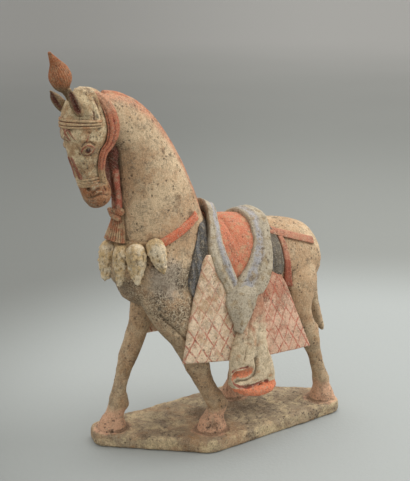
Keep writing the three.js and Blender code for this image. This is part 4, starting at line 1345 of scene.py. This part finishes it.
def from_edges(grid):
    """The distance in mm of each point of a grid from its nearest edge, along its rows and columns."""
    best = None
    for axis in (0, 1):
        step = np.linalg.norm(np.diff(grid, axis=axis), axis=-1)
        gone = np.concatenate([np.zeros_like(np.take(step, [0], axis)), np.cumsum(step, axis)], axis)
        edge = np.minimum(gone, np.take(gone, [-1], axis) - gone)
        best = edge if best is None else np.minimum(best, edge)
    return best


def packed(count):
    """Shares from 0 to 1 that lie closer together towards both ends: (1 - cos(pi * n)) / 2."""
    return (1 - np.cos(np.pi * np.linspace(0, 1, count))) / 2


def wrap(rows, across, count, thick, sink, fold):
    """A cloth that lies on the body. Rows are [angle, front x, rear x, lift]; its edges are rounded.

    Its outer face lies lift + fold(share across, angle) mm out of the body, and its inner one sink mm under.
    """
    t = packed(count)[:, None]
    s = packed(across)
    angle, front, rear, lift = columns(both_flanks(rows), t)
    x = front + (rear - front) * s
    plain = on_barrel(angle + 0 * s, x, lift + 0 * s)
    rounding = rounded(from_edges(plain) / (thick / 2))
    high = lift - thick * (1 - rounding) + fold(s, angle) * rounding
    top = on_barrel(angle + 0 * s, x, high)
    return strip(top, on_barrel(angle + 0 * s, x, lift - thick - sink + 0 * s))


UNDERCLOTH = [
    [0, -26, 43, 2.2], [20, -38, 44, 2], [39, -47.9, 46.5, 2], [57, -55.6, 47.3, 2.3], [77, -62.2, 48, 2.6],
    [97, -62.5, 47, 2.4], [108, -58, 40, 2],
]


def blanket_fold(s, angle):
    """Shallow ripples that run down the cloth and fade to its middle."""
    return 0.45 * np.sin(34 * s + 0.05 * angle) * np.abs(2 * s - 1) ** 2


blanket = formed("blanket", [wrap(UNDERCLOTH, 130, 150, 2.6, 3, blanket_fold)])
settled(blanket, 1.2, 12, 1.6)
BLANKET_DARK = srgb(70, 66, 60)
BLANKET_BLUE = srgb(104, 106, 110)
BLANKET_PALE = srgb(150, 138, 118)
BLANKET_BROWN = srgb(118, 106, 88)
dark = Finish("dark_blanket")
mottle = dark.noise(0.006, 5, 0.7)
streaked = dark.node("ShaderNodeMapping", inputs={0: dark.place, "Scale": (1, 0.35, 0.16)})
streaks = dark.noise(0.0035, 4, 0.6, at=streaked)
colour = dark.over(BLANKET_DARK, BLANKET_BLUE, streaks, 0.42, 0.62)
colour = dark.over(colour, BLANKET_BROWN, dark.axis(0), 0.028, 0.04, 0.6)
colour = dark.over(colour, BLANKET_PALE, mottle + (streaks - 0.5) * 0.6, 0.52, 0.72, 0.8)
fired(blanket, dark, colour, 0.0008, soil=0.5, specks=0.8)
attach(blanket, "root")

SEAT = [
    [0, -20, 33, 8.5], [21, -22, 30, 7.2], [36, -25.5, 26, 5.8], [50, -26.5, 23, 4.6], [63, -25, 17, 3.8],
    [76, -22.5, 9, 3.4], [88, -19, 0, 3.2], [100, -13, -6, 3],
]


def seat_fold(s, angle):
    """The pad swells in its middle and has one soft crease down each side."""
    crease = bell(s - 0.3 - 0.004 * (np.abs(angle) - 20), 0.05) * bell((np.abs(angle) - 26) / 22, 1)
    return 1.4 * np.sin(np.pi * s) - 1.6 * crease + 0.8 * bell(s - 0.5, 0.12) * bell(angle / 30, 1)


seat = formed("seat", [wrap(SEAT, 110, 150, 4, 5, seat_fold)])
settled(seat, 1.0, 12, 1.6)
SEAT_ORANGE = srgb(206, 122, 90)
SEAT_PALE = srgb(200, 160, 122)
saddle = Finish("orange_seat")
mottle = saddle.noise(0.008, 5, 0.65)
fleck = saddle.noise(0.0022, 4, 0.7)
colour = saddle.over(SEAT_ORANGE, SEAT_PALE, mottle + (fleck - 0.5) * 0.5, 0.46, 0.66, 0.8)
colour = saddle.over(colour, SOIL_AND_SHADE, fleck, 0.54, 0.7, 0.45)
fired(seat, saddle, colour, 0.0006, soil=0.35, specks=0.45)
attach(seat, "root")

CLOTH_ROWS = 220
CLOTH_ACROSS = 45
# [angle, x, half width, lift]
FRONT_BAND = [
    [0, -15, 6, 21], [12, -18.5, 6.2, 17.5], [21, -21.7, 6.3, 13], [33, -25, 7, 9.5], [45, -28.1, 8, 7.8],
    [58, -29.2, 9.4, 7], [72, -27, 9.8, 6.8], [85, -23.5, 9.8, 7], [96, -19.5, 9, 8.6], [106, -17, 9, 13],
]
REAR_BAND = [
    [0, 30, 9.5, 14], [20, 31, 10.5, 12.5], [36, 28, 10.5, 10], [50, 25, 10, 8.4], [63, 21, 12, 8],
    [76, 16.5, 14.5, 8.4], [86, 11.5, 17.5, 9.4], [95, 6, 19, 11.6], [103, 1.5, 17.5, 14.6],
    [110, -1, 13, 16.8],
]


def folded_band(rows, folds, depth):
    """A long fold of cloth round the body, crowned across its width, with grooves along it."""
    t = np.linspace(0, 1, CLOTH_ROWS)[:, None]
    s = np.linspace(-1, 1, CLOTH_ACROSS)
    angle, x, half, lift = columns(both_flanks(rows), t)
    crest = crowned(s)
    waves = depth * np.cos(folds * np.pi * s + 0.04 * angle) * (1 - s ** 2)
    ends = np.sqrt(np.clip((1 - np.abs(2 * t - 1)) / 0.03, 0, 1))
    grid_angle = angle + 0 * s
    top = on_barrel(grid_angle, x + half * s, lift - 3.4 + 3.4 * crest * ends + waves)
    under = on_barrel(grid_angle, x + half * s * 0.98, lift - 12 + 0 * s)
    return strip(top, under)


cloths = formed("grey_cloths", [folded_band(FRONT_BAND, 2.2, 0.5), folded_band(REAR_BAND, 2.8, 0.55)])
s = np.linspace(-1, 1, CLOTH_ACROSS)
blue_share = [np.tile(np.concatenate([bell(s - side, 0.46), 0 * s]), CLOTH_ROWS) for side in (0.42, -0.42)]
keep(cloths, "blue", np.concatenate(blue_share))
settled(cloths, 1.8, 14, 1.4)
CLOTH_GREY = srgb(190, 178, 156)
CLOTH_BLUE = srgb(176, 174, 176)
CLOTH_TAN = srgb(164, 142, 108)
grey = Finish("grey_cloth")
mottle = grey.noise(0.008, 5, 0.65)
stripe = grey.kept("blue") + (grey.noise(0.016, 3) - 0.5) * 1.2 + (mottle - 0.5) * 0.4
colour = grey.over(CLOTH_GREY, CLOTH_BLUE, stripe, 0.25, 0.8)
colour = grey.over(colour, CLOTH_TAN, mottle, 0.48, 0.66, 0.8)
fired(cloths, grey, colour, 0.0007, soil=0.5, specks=0.6)
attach(cloths, "root")


# Side flaps. A flat clay panel with sharp lower corners stands off each flank. Cream, with a lattice of
# diamonds drawn freehand in red, pinker towards the rear.
FLAP = [
    [189, 38, -42, 27], [182, 41, -48, 32], [165, 44, -54, 41], [140, 47.5, -62, 52], [115, 52, -69, 62],
    [96, 54, -73, 70], [86, 54.5, -75, 75],
]
PANEL_THICK = 4.4


def sheet(middle, thick):
    """A closed sheet round a grid of middle points.

    Half the thickness lies on each side, along the grid's normal, and its edges are half circles.
    """
    normal = unit(np.cross(np.gradient(middle, axis=0), np.gradient(middle, axis=1)))
    half = (thick / 2 * rounded(from_edges(middle) / (thick / 2)))[..., None]
    return strip(middle + normal * half, middle - normal * half)


def side_flap(side):
    """The panel: out = reach - 7 * t * (2 s - 1)^2.

    Its upper edge sinks under the seat between the cloths, and its lower edge droops to its front corner.
    """
    t = packed(104)[:, None]
    s = packed(130)
    z, reach, front, rear = columns(FLAP, t)
    droop = t ** 2 * (8 * (1 - s) ** 2 - 5 * s ** 2)
    wave = 0.5 * np.sin(9 * s + 4 * t) * t
    out = reach - 7 * np.clip(1.5 * t, 0, 1) * (2 * s - 1) ** 2 + wave
    out = out - 14 * np.clip(1 - t / 0.46, 0, 1) * np.sin(np.pi / 2 * np.clip((s - 0.13) / 0.3, 0, 1)) ** 2
    return sheet(np.stack([front + (rear - front) * s, side * out, z + droop + 0 * s], -1), PANEL_THICK)


flaps = formed("side_flaps", [side_flap(side) for side in BOTH])
settled(flaps, 1.3, 14, 1.2)
FLAP_CREAM = srgb(244, 218, 188)
FLAP_TAN = srgb(210, 174, 136)
FLAP_PINK = srgb(218, 166, 142)
LATTICE_RED = srgb(192, 88, 68)
LATTICE_SMEAR = srgb(172, 92, 64)
DIAMOND_WIDE = 0.0125
DIAMOND_HIGH = 0.0195
lattice = Finish("lattice_flap")
x, z = lattice.axis(0), lattice.axis(2)
mottle = lattice.noise(0.006, 5, 0.65)
hand = (lattice.noise(0.02, 3) - 0.5) * 0.5
colour = lattice.over(FLAP_CREAM, FLAP_TAN, mottle, 0.44, 0.68, 0.8)
rear = lattice.rise(x + (mottle - 0.5) * 0.03, 0.0, 0.02)
colour = lattice.blend(rear * 0.6, colour, FLAP_PINK)
upper = lattice.rise(z + (mottle - 0.5) * 0.03, 0.118, 0.15)
colour = lattice.blend(upper * lattice.rise(lattice.noise(0.01, 4), 0.45, 0.62) * 0.6, colour, PLUME_PALE)
lines = 0
for lean in (1, -1):
    place = (x / DIAMOND_WIDE + z * (lean / DIAMOND_HIGH) + hand * lean) * math.pi
    lines = lattice.rise(abs(place.wave()) + (mottle - 0.5) * 0.3, 0.28, 0.1).at_least(lines)
faded = lattice.rise(lattice.noise(0.009, 5, 0.75), 0.4, 0.54)
colour = lattice.blend(lines * (faded * 0.6 + 0.22) * (1 - upper * (1 - rear) * 0.5), colour, LATTICE_RED)
smear = lattice.rise(lattice.noise(0.013, 5, 0.7) + rear * upper * 0.16 + rear * 0.03, 0.56, 0.68)
colour = lattice.blend(smear * 0.6, colour, LATTICE_SMEAR)
fired(flaps, lattice, colour, 0.0006, soil=0.42, specks=0.6)
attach(flaps, "root")

# The grey cloths end in a point over the flap: [z, x of the middle, half width, outward reach]
CLOTH_END = [
    [161, -12, 11, 43], [156, -9.5, 15, 48.5], [151, -8.5, 16.8, 52.2], [145, -11, 16.2, 54.4],
    [138, -13.4, 14, 56.8], [131, -14.8, 10.2, 58.4], [124.5, -16.8, 5.4, 59.8], [120, -19.2, 2.2, 60.5],
    [116.8, -21, 0.4, 60.6],
]
END_THICK = 4.5


def cloth_end(side, closer):
    """A tongue of cloth: out = reach - closer + 2 * s - 4 * s^2, with a low fold down its middle."""
    t = packed(80)[:, None]
    s = 2 * packed(50) - 1
    z, x, half, reach = columns(CLOTH_END, t)
    out = reach - closer + 2 * s - 4 * s ** 2 + 0.8 * np.cos(3.2 * s - 0.5)
    return sheet(np.stack([x + half * s, side * out, z + 0 * s], -1), END_THICK)


ends = formed("cloth_ends", [cloth_end(LEFT, 0), cloth_end(RIGHT, 3)])
settled(ends, 1.2, 12, 1.4)
ends.data.materials.append(grey.material)
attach(ends, "root")


# Gathered cloth. A long cloth is caught up over the left flap, and its hem curls round in an S. A rolled
# sheet of clay, folded while wet. Cream outside with painted shade along its folds, orange in the curl, with
# red drawn along the hem.
GATHER = [
    [10, -34, 172, 4, 5], [9, -40, 160, 4, 7], [6.5, -47, 146, 4.6, 9.5], [2, -52.5, 127, 6, 13.5],
    [-4.5, -57, 107, 7.8, 18.5], [-7.5, -59, 91, 9, 22.5], [-6.2, -59, 76, 9.4, 24.4],
    [-3, -59, 66, 8.4, 22.5],
]
LOWER_LIP = [
    [-29, -60, 71, 4.8, 4.4], [-19, -64, 62, 4.8, 4.8], [-2, -65, 57.5, 4.3, 5], [11, -64.5, 57.5, 4.3, 5],
    [18, -61.5, 60.5, 3.6, 4.4],
]
# The cloth's edge round the left of the curl, the line drawn over the opening, and the one under the roll
RIM = [
    [-13.4, -66, 82.7], [-21.5, -65.5, 82.9], [-27.8, -63.5, 81.4], [-30.4, -62.5, 77.8], [-30, -63, 72.6],
    [-25.6, -64.5, 67.1], [-18, -65.5, 63.6],
]
TOP_LINE = [[-31.5, -63, 81.8], [-28, -64.2, 82.6], [-22.7, -66.2, 84.2], [-15.8, -67.5, 84.2]]
LIP_LINE = [
    [-30.6, -63, 73.9], [-28.9, -64.8, 70], [-24.6, -66.4, 66.7], [-16.7, -67.6, 64.9], [-6.9, -68, 65.2],
    [1, -67.8, 65.5], [8, -66, 65],
]
OPENING = [[-26.5, -63.8, 77.6], [-19.5, -66.7, 77.6], [-12.4, -67.8, 78.6]]
FOLD_LINE = [
    [-26, -64.4, 72.4], [-19.1, -66.8, 71.4], [-14.4, -67.8, 72], [-8.4, -68.3, 75.4], [-5.8, -68.3, 81.5],
    [-6, -68, 90],
]
UPPER_FOLD = [[-6, -68, 90], [-3, -67, 102], [2, -62, 116], [5, -58, 126]]
SIDE_FOLDS = [
    [[-19, -67, 92], [-14, -65, 108], [-7, -58.5, 128], [0, -53, 146]],
    [[8, -69, 70], [9, -68, 84], [11, -67, 98]],
]
# The cloth's right edge, which comes down to the lip
RIGHT_EDGE = [[11, -58.5, 86, 6, 6], [11.5, -60, 74, 6.6, 8.5], [11, -61.5, 61, 5.4, 9]]

RIM_RADIUS = 2.3
GATHER_GRAIN = 0.7

gather = formed("gathered_cloth", [
    limb(GATHER, 60, 64, 0.4, 0.4),
    limb(LOWER_LIP, 40, 28),
    limb(RIGHT_EDGE, 16, 28),
    limb(np.column_stack([RIM, np.full((len(RIM), 2), RIM_RADIUS)]), 60, 20),
])
fused(gather, GATHER_GRAIN, 3)
uncarved = places_of(gather)
# One after the other, as each follows the surface that the last one left
carve(gather, [[4.2, -4.6, OPENING]])
carve(gather, [[1.0, -1.2, TOP_LINE[1:]], [1.6, -3.2, FOLD_LINE], [4.5, -1.2, UPPER_FOLD]])
carve(gather, [[1.3, -1.2, fold] for fold in SIDE_FOLDS])
carve(gather, [[1.2, -2.0, LIP_LINE]])
weathered(gather, 2.2)
lip_share = np.clip((65.4 - uncarved[:, 2]) / 1.2, 0, 1) * (uncarved[:, 1] < -56)
in_opening = (near(uncarved, OPENING) < near(uncarved, FOLD_LINE) + 2) * bell(near(uncarved, OPENING), 8)
in_opening *= near(uncarved, OPENING) < near(uncarved, TOP_LINE) + 4
lip_share = np.maximum(lip_share, in_opening)
keep(gather, "lining", lip_share)
keep(gather, "hollow", hollowness(gather, 16) * 0.9 * (1 - 0.75 * lip_share))
keep(gather, "drawn", np.maximum(bell(near(uncarved, TOP_LINE), 1.3), bell(near(uncarved, LIP_LINE), 1.9)))
# Painted shade along the fold lines of the curl and the fold above it.
fold_shade = 0.7 * bell(near(uncarved, FOLD_LINE[4:-1] + UPPER_FOLD), 4)
keep(gather, "shade", np.maximum(fold_shade, 0.9 * bell(near(uncarved, FOLD_LINE), 1.7)))
LINING_ORANGE = srgb(236, 130, 86)
HEM_RED = srgb(150, 50, 38)
GATHER_CREAM = srgb(222, 202, 170)
GATHER_ORANGE = srgb(186, 138, 98)
GATHER_FOLD_SHADE = srgb(128, 120, 106)
drape = Finish("gathered_cloth")
mottle = drape.noise(0.007, 5, 0.65)
colour = drape.over(GATHER_CREAM, CLOTH_TAN, mottle, 0.45, 0.7, 0.7)
smear = drape.noise(0.011, 5, 0.7)
colour = drape.over(colour, GATHER_ORANGE, smear, 0.54, 0.66, 0.7)
colour = drape.over(colour, LATTICE_SMEAR, drape.axis(2) + (smear - 0.5) * 0.06, 0.108, 0.13, 0.65)
colour = drape.over(colour, GATHER_FOLD_SHADE, drape.kept("shade") + (mottle - 0.5) * 0.7, 0.3, 0.95, 0.5)
patchy = drape.kept("lining") + (mottle - 0.5) * 0.5 + (smear - 0.5) * 1.4
colour = drape.over(colour, LINING_ORANGE, patchy, 0.4, 0.95, 0.9)
colour = drape.over(colour, HEM_RED, drape.kept("drawn") + (mottle - 0.5) * 0.4, 0.3, 0.6, 0.85)
fired(gather, drape, colour, 0.0006, soil=0.4, specks=0.55)
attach(gather, "root")


# Crupper. One strap runs back from the saddle over each side of the rump, and one hangs from it along the
# blanket's edge and ends in a broad tab. Flat strips of clay, painted rose red.
CRUPPER = [[40, 199], [52, 194.6], [66, 190], [80, 185.5], [94, 180.8]]
CRUPPER_DROP = [[50.5, 193], [51.5, 178], [52.5, 160], [53.8, 142]]
crupper_skins = []
for side in BOTH:
    crupper_skins.append(flank_strap(side, CRUPPER, [3.3, 3.3], 3.2))
    crupper_skins.append(flank_strap(side, CRUPPER_DROP, [2.8, 4.8], 3.0))
crupper = formed("crupper", crupper_skins)
settled(crupper, 0.9)
CRUPPER_PINK = srgb(186, 124, 98)
CRUPPER_RED = srgb(164, 82, 58)
CRUPPER_PALE = srgb(196, 160, 126)
rump = Finish("rose_crupper")
mottle = rump.noise(0.006, 5, 0.65)
colour = rump.over(CRUPPER_PINK, CRUPPER_PALE, mottle, 0.48, 0.68, 0.7)
colour = rump.over(colour, CRUPPER_RED, rump.axis(2) + (mottle - 0.5) * 0.006, 0.1715, 0.1695, 0.85)
fired(crupper, rump, colour, 0.0005, soil=0.45, specks=0.5)
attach(crupper, "root")


# Soil and painted shade. Burial soil stayed where two pieces meet or a fold turns in, and painted shade
# darkens the same places. It is found from all the pieces together: how much clay lies close in front of each
# point, which is little on an open face and much in a corner.
SOIL_AND_SHADE_CELL = 1.5
SOIL_AND_SHADE_MARGIN = 20
LOOK_OUT = 3.5
OPEN_FACE = 0.12
SOIL_AND_SHADE_GAIN = 2.4
pieces = [
    piece for piece in bpy.data.objects
    if piece.type == "MESH" and piece.parent and "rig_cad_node" not in piece
]
centres = np.vstack([read(piece.data.polygons, "center") for piece in pieces]) / MM
areas = np.concatenate([read(piece.data.polygons, "area", 1)[:, 0] for piece in pieces]) / MM ** 2
lowest = centres.min(0) - SOIL_AND_SHADE_MARGIN
crowd = np.zeros(np.ceil((centres.max(0) + SOIL_AND_SHADE_MARGIN - lowest) / SOIL_AND_SHADE_CELL).astype(int))
np.add.at(crowd, tuple(((centres - lowest) / SOIL_AND_SHADE_CELL).astype(int).T), areas)
for axis in range(3):
    for _ in range(3):
        crowd = sum(np.roll(crowd, shift, axis) for shift in (-1, 0, 1)) / 3
for piece in pieces:
    ahead = places_of(piece) + normals_of(piece) * LOOK_OUT
    here = tuple(((ahead - lowest) / SOIL_AND_SHADE_CELL).astype(int).T)
    keep(piece, "corner", np.clip(crowd[here] / SOIL_AND_SHADE_CELL ** 2 - OPEN_FACE, 0, 1) * SOIL_AND_SHADE_GAIN)
